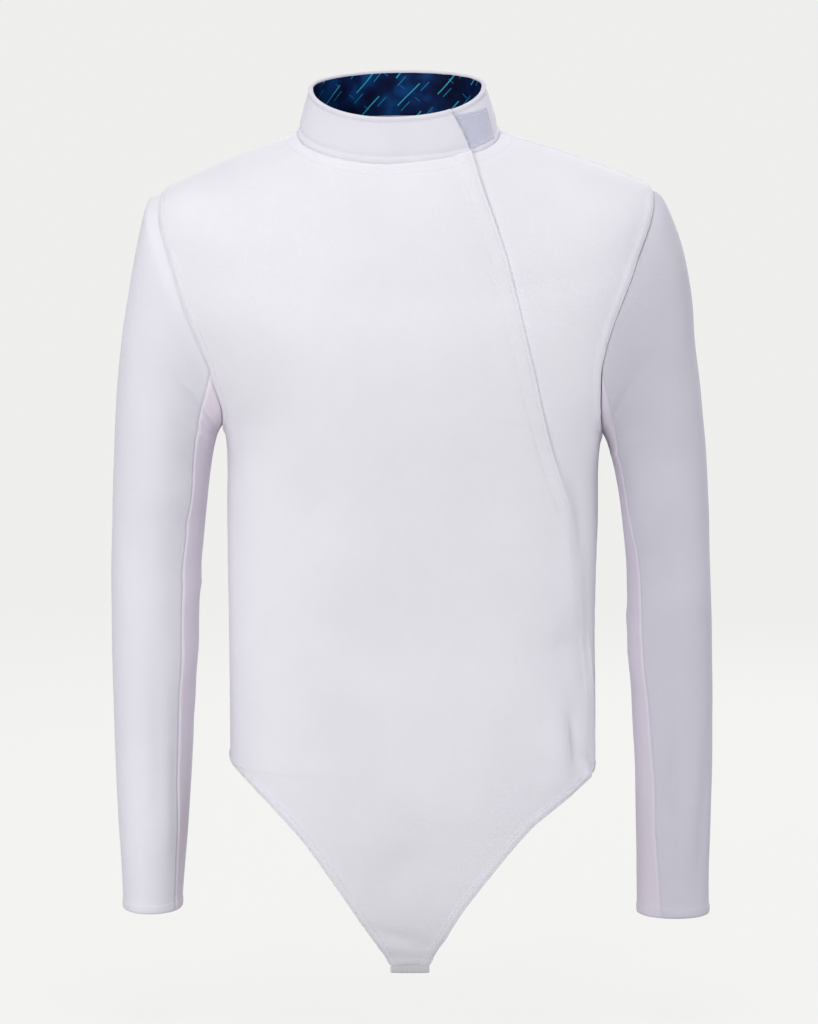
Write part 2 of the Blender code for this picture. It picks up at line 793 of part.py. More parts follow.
def strap_sewn_row(drop, left_angle, right_angle):
    """Row of the strap that lies against the inside of a panel."""
    row = []
    for x in strap_xs():
        upright = (LinePoint(-POINT_ROWS[-1], x), LinePoint(0, x))
        angle = angle_on_line(upright, drop, left_angle, right_angle)
        row.append(body_place(drop, angle, -CLOTH - STRAP_GAP))
    return row


def make_strap():
    rows = [strap_sewn_row(drop, -60, 60) for drop in STRAP_FRONT_DROPS]
    for i, here in enumerate(STRAP_LINE):
        before = STRAP_LINE[max(i - 1, 0)]
        after = STRAP_LINE[min(i + 1, len(STRAP_LINE) - 1)]
        along = Vector((0, after.y - before.y, after.z - before.z)).normalized()
        step = along.cross(Vector((1, 0, 0)))
        rows.append([Place(Vector((x, here.y, here.z)), step) for x in strap_xs()])
    rows += [strap_sewn_row(drop, 240, 120) for drop in STRAP_BACK_DROPS]
    cloth_wall("crotch_strap", rows, STRAP_CLOTH, STRAP_WEB)


def clear_scene():
    for item in list(bpy.data.objects):
        bpy.data.objects.remove(item, do_unlink=True)


def main():
    clear_scene()
    make_fronts()
    make_back()
    make_sleeve(-1, "sleeve_right")
    make_sleeve(1, "sleeve_left")
    make_collar()
    make_zip()
    make_strap()


main()
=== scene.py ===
"""Looks of the fencing jacket: finer cloth on its solids' forms, with seams, hems and stitches.

Tables are in millimetres, with +X to the wearer's left, the front towards -Y and +Z up.
A drop is a distance below the origin. Angle 0 on the body is the front centre and 90 the
wearer's left side; turn 0 on a sleeve is its outer edge and 90 its front.
"""
import math
from collections import namedtuple

import bpy
import numpy as np
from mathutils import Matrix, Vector, noise


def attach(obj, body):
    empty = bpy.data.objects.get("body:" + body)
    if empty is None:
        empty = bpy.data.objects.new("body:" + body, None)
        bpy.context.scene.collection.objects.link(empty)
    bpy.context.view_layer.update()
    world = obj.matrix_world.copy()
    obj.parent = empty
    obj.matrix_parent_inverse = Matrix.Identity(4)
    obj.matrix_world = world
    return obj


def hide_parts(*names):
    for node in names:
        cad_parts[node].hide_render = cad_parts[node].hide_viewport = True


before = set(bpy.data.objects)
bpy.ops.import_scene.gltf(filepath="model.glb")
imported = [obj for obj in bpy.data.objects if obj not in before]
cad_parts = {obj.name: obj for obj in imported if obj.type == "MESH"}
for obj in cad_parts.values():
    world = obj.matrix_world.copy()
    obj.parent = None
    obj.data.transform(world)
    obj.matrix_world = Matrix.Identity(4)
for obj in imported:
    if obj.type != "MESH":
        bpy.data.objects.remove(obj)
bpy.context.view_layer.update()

MM = 0.001


def rows_of(kind, rows):
    return tuple(kind(*row) for row in rows)


# Body and collar: one ring round the jacket in each row, as in the solids

Ring = namedtuple("Ring", "drop left right front back front_drop back_drop bow tilt fullness")

BODY_RINGS = rows_of(Ring, (
    (3, -100.8, 78.3, -62, 62, 32.5, -15, 1.0, 0, 0.000),
    (28, -165, 156, -86, 83, 69, 6, 1.6, -1, 0.010),
    (57, -222, 214, -101, 96, 110, 50, 2.0, -4, 0.022),
    (110, -230, 219, -112, 105, 156, 104, 2.0, -2, 0.030),
    (160, -221, 208, -118, 108, 190, 156, 2.0, 1, 0.032),
    (210, -196, 190, -120, 106, 226, 208, 2.0, 4, 0.032),
    (261, -168.5, 171, -119, 102, 266, 261, 2.0, 7, 0.032),
    (340, -164.5, 167.5, -114, 95, 341, 340, 2.0, 7, 0.032),
    (430, -163, 165.5, -110, 91, 430, 430, 2.0, 8, 0.032),
    (510, -163, 166, -111, 94, 510, 510, 2.0, 9, 0.032),
    (565, -163, 166, -112, 99, 565, 565, 2.0, 9, 0.032),
    (620, -161, 164, -109, 100, 620, 620, 2.0, 6, 0.026),
    (670, -158, 160, -100, 98, 670, 670, 2.0, 3, 0.018),
    (710, -155, 156, -86, 95, 710, 710, 2.0, 1, 0.010),
    (745, -150, 150, -60, 90, 745, 745, 2.0, 0, 0.000),
))

COLLAR_RINGS = rows_of(Ring, (
    (-39, -90.2, 65.8, -55, 56, -7, -55, 1.0, -3, 0.000),
    (-33, -91.9, 67.6, -56, 57, -1, -46, 1.0, -3, 0.000),
    (-15, -96.8, 73.6, -59, 60, 15, -31, 1.0, -2, 0.000),
    (3, -100.8, 78.3, -62, 62, 32.5, -15, 1.0, 0, 0.000),
))

NECK_DROP = 3
RIM_DROP = -39
SHOULDER_DROP = 57
UNDERARM_DROP = 261
HIP_DROP = 565
TIP_DROP = 741
BACK_DIP = 24

# Armholes: how far each is cut towards the front centre, by side, and towards the back, and
# how far its deepest place lies below its middle, all in degrees. They, the lap's lower
# corner and the sleeves' front seams follow the photo a little closer than the solids do.
ARMHOLE_FRONT_TURNS = {-1: 33.0, 1: 35.0}
ARMHOLE_BACK_TURN = 32.0
ARMHOLE_SKEW = 8.0

# Lines on the front, as x at each z

LinePoint = namedtuple("LinePoint", "z x")

LAP_EDGE = rows_of(LinePoint, (
    (-575, 158.5), (-560, 161.5), (-507, 159.4), (-452, 156.0),
    (-416, 150.5), (-374, 145.0), (-336, 138.0), (-306, 128.5),
    (-268, 118.0), (-210, 105.5), (-163, 94.5), (-121, 84.7),
    (-86, 73.5), (-57, 63.0), (-22, 52.0),
))

POINT_LEFT_EDGE = rows_of(LinePoint, (
    (-741, -19.0), (-729, -25.0), (-705, -41.0), (-674, -61.0),
    (-627, -94.5), (-598, -122.0), (-575, -148.0), (-565, -163.0),
))

POINT_RIGHT_EDGE = rows_of(LinePoint, (
    (-741, 17.0), (-729, 22.0), (-714, 31.0), (-690, 45.0),
    (-660, 67.0), (-617, 103.5), (-598, 127.0), (-581, 150.5),
    (-575, 158.5),
))

# The cloth's wall, the zip, the lap, and the collar's ends in degrees round the neck from the
# front centre
WALL = 2.0
UNDERLAP = 14.0
ZIP_TOP_DROP = 10.0
ZIP_WIDTH = 30.0
LAP_FLAT = 46.0
LAP_RAMP = 40.0
LAP_RISE = 2.3
COLLAR_LAP_RISE = 3.8
COLLAR_LAP_FADE = 80.0
POINT_LAP_FADE = 45.0
COLLAR_UNDER_END = 27.0
COLLAR_OVER_END = 405.0
COLLAR_RIM_SLANT = 9.0

# Sleeves: one ring in each row, with its two seams in degrees from the outer edge

SleeveRing = namedtuple(
    "SleeveRing", "outer_x outer_drop inner_x inner_drop depth middle_y front_seam back_seam")

RIGHT_SLEEVE_RINGS = rows_of(SleeveRing, (
    (-224, 57, -168.5, 261, 72, 0, 120, 240),
    (-235, 61, -170, 264, 71, 0, 125, 240),
    (-241, 79, -171.5, 267, 69, 0, 128, 240),
    (-248, 115, -174, 272, 66, 1, 131, 240),
    (-254, 151, -176.5, 281, 63, 2, 133, 239),
    (-260, 190, -179.5, 297, 60, 3, 135, 238),
    (-264.5, 240, -183, 326, 57, 4, 136, 237),
    (-267.5, 300, -187, 368, 54, 5, 134, 236),
    (-269.5, 365, -190.5, 415, 51, 5, 133, 235),
    (-270, 430, -193, 463, 48, 3, 133, 234),
    (-268.8, 495, -195, 512, 46, -1, 133, 232),
    (-266.5, 560, -197.3, 565, 43.5, -6, 135, 230),
    (-263.5, 620, -200.5, 620, 41, -11, 139, 228),
    (-260.8, 662, -204, 662, 39, -15, 142, 226),
    (-259, 697, -206.5, 697, 38, -18, 145, 225),
))

LEFT_SLEEVE_RINGS = rows_of(SleeveRing, (
    (214, 52, 171, 268, 72, 0, 118, 240),
    (223.5, 58, 172.5, 271, 71, 0, 127, 240),
    (232.5, 76, 174, 274, 69, 0, 136, 240),
    (243.5, 106, 176.5, 280, 66, 1, 145, 240),
    (251, 146, 179.5, 290, 63, 2, 151, 239),
    (255, 190, 183.5, 306, 60, 3, 154, 238),
    (261.5, 245, 189, 335, 57, 4, 152, 237),
    (266.5, 305, 193, 375, 54, 5, 146, 236),
    (269, 370, 195.5, 420, 51, 5, 140, 235),
    (271, 435, 197, 468, 48, 3, 135, 234),
    (272, 500, 199.5, 517, 45, -1, 131, 232),
    (271.8, 565, 202, 570, 41, -6, 128, 230),
    (270, 625, 203.2, 625, 37, -11, 124, 228),
    (268.8, 668, 203.6, 668, 34, -15, 118, 226),
    (268.2, 702, 204.3, 702, 33, -18, 114, 225),
))

LAST_SLEEVE_ROW = 14.0
SHAPE_FADE_ROWS = 5.0

# Folds and creases: a line across the cloth from one drop and angle (a row and turn on a
# sleeve) to another, how far the cloth moves out, or in below zero, and how wide it is

Fold = namedtuple("Fold", "drop angle end_drop end_angle rise width")

BODY_FOLDS = rows_of(Fold, (
    (250, -70, 190, -38, 2.2, 24), (275, -72, 235, -44, -2.0, 22), (255, 70, 205, 50, 2.0, 22),
    (500, 62, 575, 66, -3.0, 16), (420, 52, 470, 58, -2.2, 20), (330, -80, 520, -74, 1.8, 26),
    (690, 2, 620, 8, -2.0, 26), (255, 112, 215, 140, 2.4, 26), (255, 248, 215, 220, 2.4, 26),
    (380, 128, 460, 150, 2.0, 30), (400, 235, 480, 212, -2.0, 30),
))

SLEEVE_FOLDS = rows_of(Fold, (
    (6.0, 150, 7.2, 60, 2.2, 20), (7.4, 170, 8.2, 80, -2.0, 20), (8.8, 190, 9.6, 110, 2.2, 20),
    (9.2, 300, 10.0, 220, 2.0, 22), (11.0, 160, 11.8, 70, -1.6, 20),
))

BODY_CREASES = rows_of(Fold, (
    (238, -60, 205, -42, -1.6, 8), (262, -66, 232, -50, 1.4, 9), (300, -74, 262, -60, -1.4, 10),
    (240, 68, 200, 56, -1.3, 8), (285, 76, 250, 62, 1.4, 10), (306, 54, 372, 57, -2.6, 6),
    (372, 62, 470, 66, -3.0, 6), (290, 44, 520, 59, 3.0, 9), (436, 47, 452, 50, -3.2, 6),
    (430, 42, 448, 45, 1.9, 7), (498, 53, 562, 57, -6.0, 6), (486, 62, 560, 66, 3.6, 6),
    (540, 62, 562, 72, -2.4, 5), (520, 44, 556, 47, 1.9, 9), (672, -8, 622, 2, -2.6, 17),
    (704, -14, 719, 4, -1.8, 5), (713, 8, 722, 30, 1.6, 6), (722, -12, 730, 10, 1.4, 5),
    (690, 22, 712, 14, -1.6, 7), (574, -72, 600, -50, -1.4, 9), (360, 118, 420, 140, 3.2, 13),
    (392, 116, 436, 132, -2.7, 10), (410, 242, 455, 220, 3.0, 13), (436, 240, 470, 226, -2.6, 9),
    (428, 168, 440, 206, -2.4, 11), (452, 158, 466, 192, 2.4, 12), (470, 204, 520, 188, -2.7, 16),
    (520, 136, 560, 162, -2.9, 14), (508, 228, 556, 214, 2.6, 12), (250, 108, 205, 130, -2.7, 9),
    (284, 112, 236, 140, 2.6, 10), (250, 252, 205, 230, -2.7, 9), (290, 250, 240, 222, 2.4, 11),
    (150, 166, 225, 176, 2.4, 15), (86, 207, 160, 195, -2.2, 14), (96, 150, 170, 142, 1.9, 15),
))

RIGHT_SLEEVE_CREASES = rows_of(Fold, (
    (2.6, 150, 3.6, 96, -1.9, 8), (3.4, 165, 4.6, 120, 1.8, 9), (4.2, 64, 6.0, 78, -1.1, 12),
    (6.6, 160, 7.2, 84, -1.6, 8), (7.7, 200, 8.1, 110, 1.8, 9), (9.8, 260, 10.3, 190, -1.6, 9),
    (10.0, 112, 12.6, 120, 1.3, 7), (8.4, 96, 11.6, 104, -1.1, 8), (12.0, 70, 13.4, 84, 1.1, 8),
    (5.4, 322, 6.3, 262, 1.9, 12), (6.8, 304, 7.6, 236, 2.9, 11), (7.3, 332, 7.9, 262, -2.6, 8),
    (8.1, 315, 8.6, 246, -2.6, 10), (9.0, 300, 9.5, 238, 2.1, 9), (10.8, 284, 11.5, 234, -1.8, 10),
))

LEFT_SLEEVE_CREASES = rows_of(Fold, (
    (2.4, 140, 3.5, 92, -1.8, 8), (4.0, 172, 5.0, 118, 1.8, 9), (5.4, 60, 7.4, 72, -1.1, 12),
    (6.9, 170, 7.6, 96, -1.8, 9), (8.2, 210, 8.8, 122, 1.6, 9), (9.0, 104, 13.2, 92, -1.6, 5),
    (9.4, 94, 13.4, 80, 1.3, 6), (10.6, 34, 13.2, 50, -2.4, 12), (12.2, 250, 12.9, 196, 1.3, 9),
    (5.2, 318, 6.0, 258, -1.9, 12), (6.9, 306, 7.8, 238, 2.9, 11), (7.6, 328, 8.1, 268, -2.4, 8),
    (8.4, 318, 8.9, 248, -2.6, 10), (9.3, 296, 9.9, 242, 2.2, 9), (11.2, 288, 11.8, 240, 1.6, 10),
))

LAP_SWELL = 1.5
LAP_SWELL_WIDTH = 14.0

BODY_MM_PER_DEGREE = 2.3
SLEEVE_ROW_MM = 55.0
SLEEVE_MM_PER_DEGREE = 0.85
FOLD_END_RISE = 0.35
HALVINGS = 34

# Strap: y and z of its outer face between its sewn ends
STRAP_HALF_WIDTH = 17.0
STRAP_MIDDLE_X = -1.0
STRAP_FRONT_DROPS = (715, 728, 741)
STRAP_BACK_DROPS = (565, 558, 550)
STRAP_GAP = 0.6
STRAP_EDGE = 0.4

StrapPoint = namedtuple("StrapPoint", "y z")

STRAP_LINE = rows_of(StrapPoint, (
    (-50.0, -750.5), (-32.0, -755.0), (-10.0, -753.5), (14.0, -744.0), (38.0, -726.0),
    (60.0, -700.0), (77.0, -670.0), (89.0, -638.0), (95.0, -608.0),
))

# Edges of the cloth: how far it turns in at the edge, how far a band of that width is
# raised, where its first stitch line lies and how deep the stitches draw in

Edge = namedtuple("Edge", "sink rise band first groove")

PLAIN_SEAM = Edge(0.5, 0.30, 5.0, 0.0, 0.10)
STITCHED_SEAM = Edge(0.2, 1.20, 9.0, 2.4, 0.60)
NECK_SEAM = Edge(0.3, 0.80, 6.0, 0.0, 0.45)
LAP_BAND = Edge(1.2, 1.20, 15.0, 4.2, 0.55)
POINT_HEM = Edge(0.0, 0.90, 7.5, 2.0, 0.60)
CUFF_HEM = Edge(0.0, 0.80, 8.5, 0.0, 0.65)
BACK_HEM = Edge(0.0, 0.80, 12.0, 2.0, 0.55)
COLLAR_END = Edge(0.6, 1.20, 4.5, 0.0, 0.50)
PATCH_EDGE = Edge(0.1, 0.45, 3.2, 0.0, 0.35)

NECK_STITCH = 12.0
STITCH_WIDTH = 1.0
SINK_WIDTH = 1.2
BAND_START = 1.6
BAND_END = 2.2

# Soft unevenness: its height, the size of its waves and how far past a band puckers reach
PUCKER = 0.36
PUCKER_SIZE = 7.0
PUCKER_REACH = 3.0
RIPPLE = 0.45
RIPPLE_SIZE = 46.0
COLLAR_RIPPLE = 0.35
COLLAR_RIPPLE_SIZE = 34.0
COLLAR_PUCKER_SIZE = 9.0
LINING_RIPPLE = 0.15
LINING_RIPPLE_SIZE = 22.0

# Stitches: length, spacing, half thickness of a thread, and its four sections' places along
# the stitch and over the cloth, as shares of the length and of the half thickness
STITCH = 2.1
STITCH_PITCH = 2.8
THREAD = 0.2
STITCH_SECTIONS = ((-0.5, -0.6), (-0.32, 0.7), (0.32, 0.7), (0.5, -0.6))

SHELL = 1.7
CREASE_ANGLE = 38.0
COLLAR_CREASE_ANGLE = 50.0
TOOTH_CREASE_ANGLE = 30.0


# Curves and surfaces, for single values or whole arrays

def unit(vectors):
    return vectors / np.maximum(np.linalg.norm(vectors, axis=-1, keepdims=True), 1e-9)


def alike(*values):
    return np.broadcast_arrays(*(np.asarray(value, dtype=float) for value in values))


def walked_along(points, axis=0):
    """Distance walked from the first point along an axis of points."""
    steps = np.linalg.norm(np.diff(points, axis=axis), axis=-1)
    start = np.zeros_like(np.take(steps, [0], axis))
    return np.concatenate((start, np.cumsum(steps, axis)), axis)


def halved(past, low, high):
    """The places between low and high past which a test holds."""
    for _ in range(HALVINGS):
        middle = (low + high) / 2
        found = past(middle)
        high = np.where(found, middle, high)
        low = np.where(found, low, middle)
    return (low + high) / 2


def curve_at(keys, values, key):
    """Values at keys on the smooth curve through a table whose keys rise."""
    index = np.arange(len(keys))
    before = np.maximum(index - 1, 0)
    after = np.minimum(index + 1, len(keys) - 1)
    slope = (values[after] - values[before]) / (keys[after] - keys[before])
    cell = np.clip(np.searchsorted(keys, key) - 1, 0, len(keys) - 2)
    span = keys[cell + 1] - keys[cell]
    part = (key - keys[cell]) / span
    rise = values[cell + 1] - values[cell]
    bend_in = slope[cell] * span - rise
    bend_out = rise - slope[cell + 1] * span
    bend = (1 - part) * bend_in + part * bend_out
    return values[cell] + part * rise + part * (1 - part) * bend


def row_at(table, key):
    columns = np.array(table, dtype=float).T
    return type(table[0])(*(curve_at(columns[0], column, key) for column in columns))


def ease(part):
    part = np.clip(part, 0.0, 1.0)
    return part * part * (3 - 2 * part)


def ring_point(ring, angle):
    turn = np.radians(angle)
    full = ring.fullness
    across = (np.sin(turn) + full * np.sin(3 * turn)) / (1 - full)
    along = (np.cos(turn) - full * np.cos(3 * turn)) / (1 - full)
    depth = np.where(along > 0, ring.front, ring.back)
    low = np.where(along > 0, ring.front_drop, ring.back_drop)
    x = (ring.left + ring.right) / 2 + across * (ring.right - ring.left) / 2
    sink = ring.drop + (low - ring.drop) * np.abs(along) ** ring.bow
    sink = sink + ring.tilt * (1 + across) / 2
    return np.stack((x, depth * np.abs(along), -sink), axis=-1)


def fold_rise(folds, row, angle, row_scale, angle_scale):
    rise = 0.0
    for fold in folds:
        run_row = (fold.end_drop - fold.drop) * row_scale
        run_turn = (fold.end_angle - fold.angle) * angle_scale
        here_row = (row - fold.drop) * row_scale
        here_turn = ((angle - fold.angle + 180) % 360 - 180) * angle_scale
        length = run_row ** 2 + run_turn ** 2
        along = np.clip((here_row * run_row + here_turn * run_turn) / length, 0.0, 1.0)
        aside = np.hypot(here_row - run_row * along, here_turn - run_turn * along) / fold.width
        swell = FOLD_END_RISE + (1 - FOLD_END_RISE) * np.sin(np.pi * along)
        rise = rise + fold.rise * swell * np.exp(-aside * aside)
    return rise


def surface_normal(surface, row, angle):
    step = 0.5
    down = surface(row + step, angle) - surface(row - step, angle)
    round_it = surface(row, angle + step) - surface(row, angle - step)
    return unit(np.cross(down, round_it))


def plain_body_point(drop, angle):
    drop, angle = alike(drop, angle)
    dip = BACK_DIP * np.maximum(-np.cos(np.radians(angle)), 0.0) ** 2
    lower = np.clip((drop - UNDERARM_DROP) / (HIP_DROP - UNDERARM_DROP), 0.0, 1.0)
    point = ring_point(row_at(BODY_RINGS, drop), angle)
    point[..., 2] -= dip * lower
    return point


def body_point(drop, angle):
    outward = surface_normal(plain_body_point, drop, angle)
    rise = fold_rise(BODY_FOLDS, drop, angle, 1.0, BODY_MM_PER_DEGREE)
    return plain_body_point(drop, angle) + outward * np.asarray(rise)[..., None]


def collar_point(drop, angle):
    drop, angle = alike(drop, angle)
    return ring_point(row_at(COLLAR_RINGS, drop), angle)


def armhole_angle(side, turn):
    cut = np.sin(np.radians(turn - ARMHOLE_SKEW * np.sin(np.radians(turn))))
    depth = np.where(cut > 0, ARMHOLE_FRONT_TURNS[side], ARMHOLE_BACK_TURN)
    angle = 90 - depth * cut
    return angle if side > 0 else 360 - angle


def armhole_drop(turn):
    middle = (SHOULDER_DROP + UNDERARM_DROP) / 2
    return middle - (UNDERARM_DROP - SHOULDER_DROP) / 2 * np.cos(np.radians(turn))


def armhole_point(side, turn):
    return body_point(armhole_drop(turn), armhole_angle(side, turn))


def sleeve_ring(side, row):
    table = LEFT_SLEEVE_RINGS if side > 0 else RIGHT_SLEEVE_RINGS
    keys = np.arange(len(table), dtype=float)
    row = np.clip(row, 0.0, LAST_SLEEVE_ROW)
    return SleeveRing(*(curve_at(keys, column, row) for column in np.array(table, dtype=float).T))


def sleeve_oval(ring, turn):
    middle_x = (ring.outer_x + ring.inner_x) / 2
    middle_drop = (ring.outer_drop + ring.inner_drop) / 2
    reach = np.cos(np.radians(turn))
    x = middle_x + (ring.outer_x - ring.inner_x) / 2 * reach
    drop = middle_drop + (ring.outer_drop - ring.inner_drop) / 2 * reach
    y = ring.middle_y - ring.depth * np.sin(np.radians(turn))
    return np.stack((x, y, -drop), axis=-1)


def plain_sleeve_point(side, row, turn):
    row, turn = alike(row, turn)
    point = sleeve_oval(sleeve_ring(side, row), turn)
    share = (1 - ease(row / SHAPE_FADE_ROWS))[..., None]
    start = sleeve_oval(sleeve_ring(side, np.zeros_like(row)), turn)
    return point + share * (armhole_point(side, turn) - start)


def normal_on_sleeve(surface, side, row, turn):
    low = np.maximum(row - 0.1, 0.0)
    high = np.minimum(row + 0.1, LAST_SLEEVE_ROW)
    down = surface(side, high, turn) - surface(side, low, turn)
    round_it = surface(side, row, turn + 1.0) - surface(side, row, turn - 1.0)
    return side * unit(np.cross(round_it, down))


def sleeve_point(side, row, turn):
    rise = fold_rise(SLEEVE_FOLDS, row, turn, SLEEVE_ROW_MM, SLEEVE_MM_PER_DEGREE)
    outward = normal_on_sleeve(plain_sleeve_point, side, row, turn)
    return plain_sleeve_point(side, row, turn) + outward * np.asarray(rise)[..., None]


# Edges drawn on the body

def line_x(line, z):
    columns = np.array(line, dtype=float).T
    return curve_at(columns[0], columns[1], np.clip(z, columns[0][0], columns[0][-1]))


def angle_on_line(line, drop, low, high):
    """Angle where each ring crosses a line seen from the front."""
    def past(angle):
        point = plain_body_point(drop, angle)
        return point[..., 0] > line_x(line, point[..., 2])

    return halved(past, np.full(np.shape(drop), float(low)), np.full(np.shape(drop), float(high)))


def lap_angle(drop):
    return angle_on_line(LAP_EDGE, drop, 0.0, 89.0)


def angle_beside_lap(drop, reach):
    edge_angle = lap_angle(drop)
    edge = plain_body_point(drop, edge_angle)

    def near(angle):
        return np.linalg.norm(plain_body_point(drop, angle) - edge, axis=-1) <= reach

    return halved(near, np.full(np.shape(drop), -60.0), edge_angle)


def lap_rise(drop, reach):
    at_collar = 1 - ease((drop - NECK_DROP) / COLLAR_LAP_FADE)
    below = 1 - ease((drop - HIP_DROP) / POINT_LAP_FADE)
    rise = (LAP_RISE + (COLLAR_LAP_RISE - LAP_RISE) * at_collar) * below
    return rise * (1 - ease((reach - LAP_FLAT) / LAP_RAMP))


def collar_lap_rise(drop, angle):
    reach = np.linalg.norm(collar_point(drop, angle) - collar_point(drop, COLLAR_OVER_END), axis=-1)
    return np.where(angle > 180, COLLAR_LAP_RISE * (1 - ease((reach - LAP_FLAT) / LAP_RAMP)), 0.0)


# Grids of points: rows of a panel with fine columns beside its edges

FINE_EDGE = (0.0, 0.8, 1.6, 2.4, 3.4, 4.6, 6.0, 7.5, 8.8, 9.8, 11.0, 13.0, 16.0, 20.0)
LAP_FINE_EDGE = (0.0, 0.8, 1.6, 2.4, 3.4, 5.0, 7.0, 9.0, 11.0, 13.0, 14.2, 15.4, 17.0, 20.0)
UNDER_EDGE = (0.0, 4.0, 9.0, 13.0, 16.0)
SLEEVE_EDGE = (0.0, 0.8, 1.8, 3.0, 4.5, 6.5, 10.0)
EDGE_SHARE = 0.42
CURVE_SAMPLES = 240


def spaced(surface, row, first, last, from_first, from_last, columns):
    """Angles along a row at distances in mm from its two ends, with even ones between."""
    angles = np.linspace(first, last, CURVE_SAMPLES)
    walked = walked_along(surface(row, angles))
    length = walked[-1]
    head = np.array(from_first)
    tail = np.array(from_last)
    head = head * min(1.0, EDGE_SHARE * length / head[-1])
    tail = length - (tail * min(1.0, EDGE_SHARE * length / tail[-1]))[::-1]
    between = np.linspace(head[-1], tail[0], columns + 2)[1:-1]
    return np.interp(np.concatenate((head, between, tail)), walked, angles)


def fine_rows(first, last, step, from_first, from_last):
    """Keys from first to last about a step apart, with closer ones at the ends."""
    start = first + from_first[-1]
    end = last - from_last[-1]
    between = np.linspace(start, end, round((end - start) / step) + 1)
    head = [first + gap for gap in from_first[:-1]]
    tail = [last - gap for gap in from_last[-2::-1]]
    return np.concatenate((head, between, tail))


NECK_ROWS = fine_rows(
    NECK_DROP, SHOULDER_DROP, 5, (0, 0.3, 0.7, 1.2, 1.8, 2.5, 3.2, 4.0, 4.8, 5.7, 7.0, 9.0, 12.0),
    (0, 0.8, 2.0, 3.6, 6.0, 9.0))[:-1]
ARMHOLE_TURNS = np.linspace(0.0, 180.0, 55)
SIDE_DROPS = fine_rows(
    UNDERARM_DROP + 3, HIP_DROP, 6.5, (0, 2.5), (0, 1.0, 2.0, 3.5, 6.0, 9.0, 12.0, 15.0, 20.0))
POINT_DROPS = fine_rows(
    HIP_DROP + 1.5, TIP_DROP, 5.0, (0, 1.5, 3.5), (0, 1.0, 2.0, 3.5, 5.5, 8.0))
BODY_DROPS = np.concatenate((NECK_ROWS, armhole_drop(ARMHOLE_TURNS), SIDE_DROPS))
ARMHOLE_ROWS = slice(len(NECK_ROWS), len(NECK_ROWS) + len(ARMHOLE_TURNS))

Grid = namedtuple("Grid", "rows angles points normals mapped")


def edge_angles(seam, armhole):
    """Angles of a panel's edge: those of its seams, with the armhole's in between."""
    angles = np.full(len(BODY_DROPS), seam)
    angles[ARMHOLE_ROWS] = armhole
    return angles


def panel_grid(drops, starts, ends, first_edge, last_edge, columns, middle):
    angles = np.array([
        spaced(plain_body_point, drop, start, end, first_edge, last_edge, columns)
        for drop, start, end in zip(drops, starts, ends)])
    rows = np.repeat(drops[:, None], angles.shape[1], axis=1)
    normals = surface_normal(body_point, rows, angles)
    mapped = ring_map(plain_body_point, rows, angles, middle)
    return Grid(rows, angles, body_point(rows, angles), normals, mapped)


def front_right_grid():
    drops = np.concatenate((BODY_DROPS, POINT_DROPS))
    starts = np.concatenate((edge_angles(-90.0, armhole_angle(-1, ARMHOLE_TURNS) - 360),
                             angle_on_line(POINT_LEFT_EDGE, POINT_DROPS, -90.0, 0.0)))
    ends = np.concatenate((lap_angle(BODY_DROPS),
                           angle_on_line(POINT_RIGHT_EDGE, POINT_DROPS, 0.0, 90.0)))
    return panel_grid(drops, starts, ends, FINE_EDGE, LAP_FINE_EDGE, columns=40, middle=0.0)


def front_left_grid():
    starts = angle_beside_lap(BODY_DROPS, UNDERLAP)
    ends = edge_angles(90.0, armhole_angle(1, ARMHOLE_TURNS))
    return panel_grid(BODY_DROPS, starts, ends, UNDER_EDGE, FINE_EDGE, columns=16, middle=0.0)


def back_grid():
    starts = edge_angles(90.0, armhole_angle(1, 360 - ARMHOLE_TURNS))
    ends = edge_angles(270.0, armhole_angle(-1, 360 - ARMHOLE_TURNS))
    return panel_grid(BODY_DROPS, starts, ends, FINE_EDGE, FINE_EDGE, columns=44, middle=180.0)


# The last rows of a sleeve by their distances from the cuff, where a row is 35 mm
CUFF_ROWS = (16.0, 13.0, 11.0, 9.8, 8.8, 7.8, 6.5, 4.5, 2.5, 1.2, 0.0)
CUFF_ROW_MM = 35.0
SLEEVE_ROWS = np.concatenate((
    (0.0, 0.02, 0.05, 0.09, 0.15, 0.25, 0.4), np.arange(0.6, 13.4, 0.18),
    LAST_SLEEVE_ROW - np.array(CUFF_ROWS) / CUFF_ROW_MM))


def sleeve_grid(side, part):
    rings = sleeve_ring(side, SLEEVE_ROWS)
    if part == "upper":
        starts, ends, columns, middle = rings.back_seam - 360, rings.front_seam, 34, 0.0
    else:
        starts, ends, columns, middle = rings.front_seam, rings.back_seam, 16, 180.0

    def surface(row, turn):
        return plain_sleeve_point(side, row, turn)

    turns = np.array([
        spaced(surface, row, start, end, SLEEVE_EDGE, SLEEVE_EDGE, columns)
        for row, start, end in zip(SLEEVE_ROWS, starts, ends)])
    rows = np.repeat(SLEEVE_ROWS[:, None], turns.shape[1], axis=1)
    normals = normal_on_sleeve(sleeve_point, side, rows, turns)
    mapped = ring_map(surface, rows, turns, middle)
    return Grid(rows, turns, sleeve_point(side, rows, turns), normals, mapped)


# Edges as lines in space, and what they do to the cloth beside them

def armhole_line(side, first, last):
    return armhole_point(side, np.linspace(first, last, 260))


def body_line(drops, angles):
    return body_point(*alike(drops, angles))


def distance_to(line, points):
    """Distance of each point from a line of short straight pieces."""
    flat = points.reshape(-1, 3)
    nearest = np.full(len(flat), np.inf)
    for start, end in zip(line[:-1], line[1:]):
        run = end - start
        along = np.clip((flat - start) @ run / max(run @ run, 1e-9), 0.0, 1.0)
        gap = flat - start - along[:, None] * run
        nearest = np.minimum(nearest, np.einsum("ij,ij->i", gap, gap))
    return np.sqrt(nearest).reshape(points.shape[:-1])


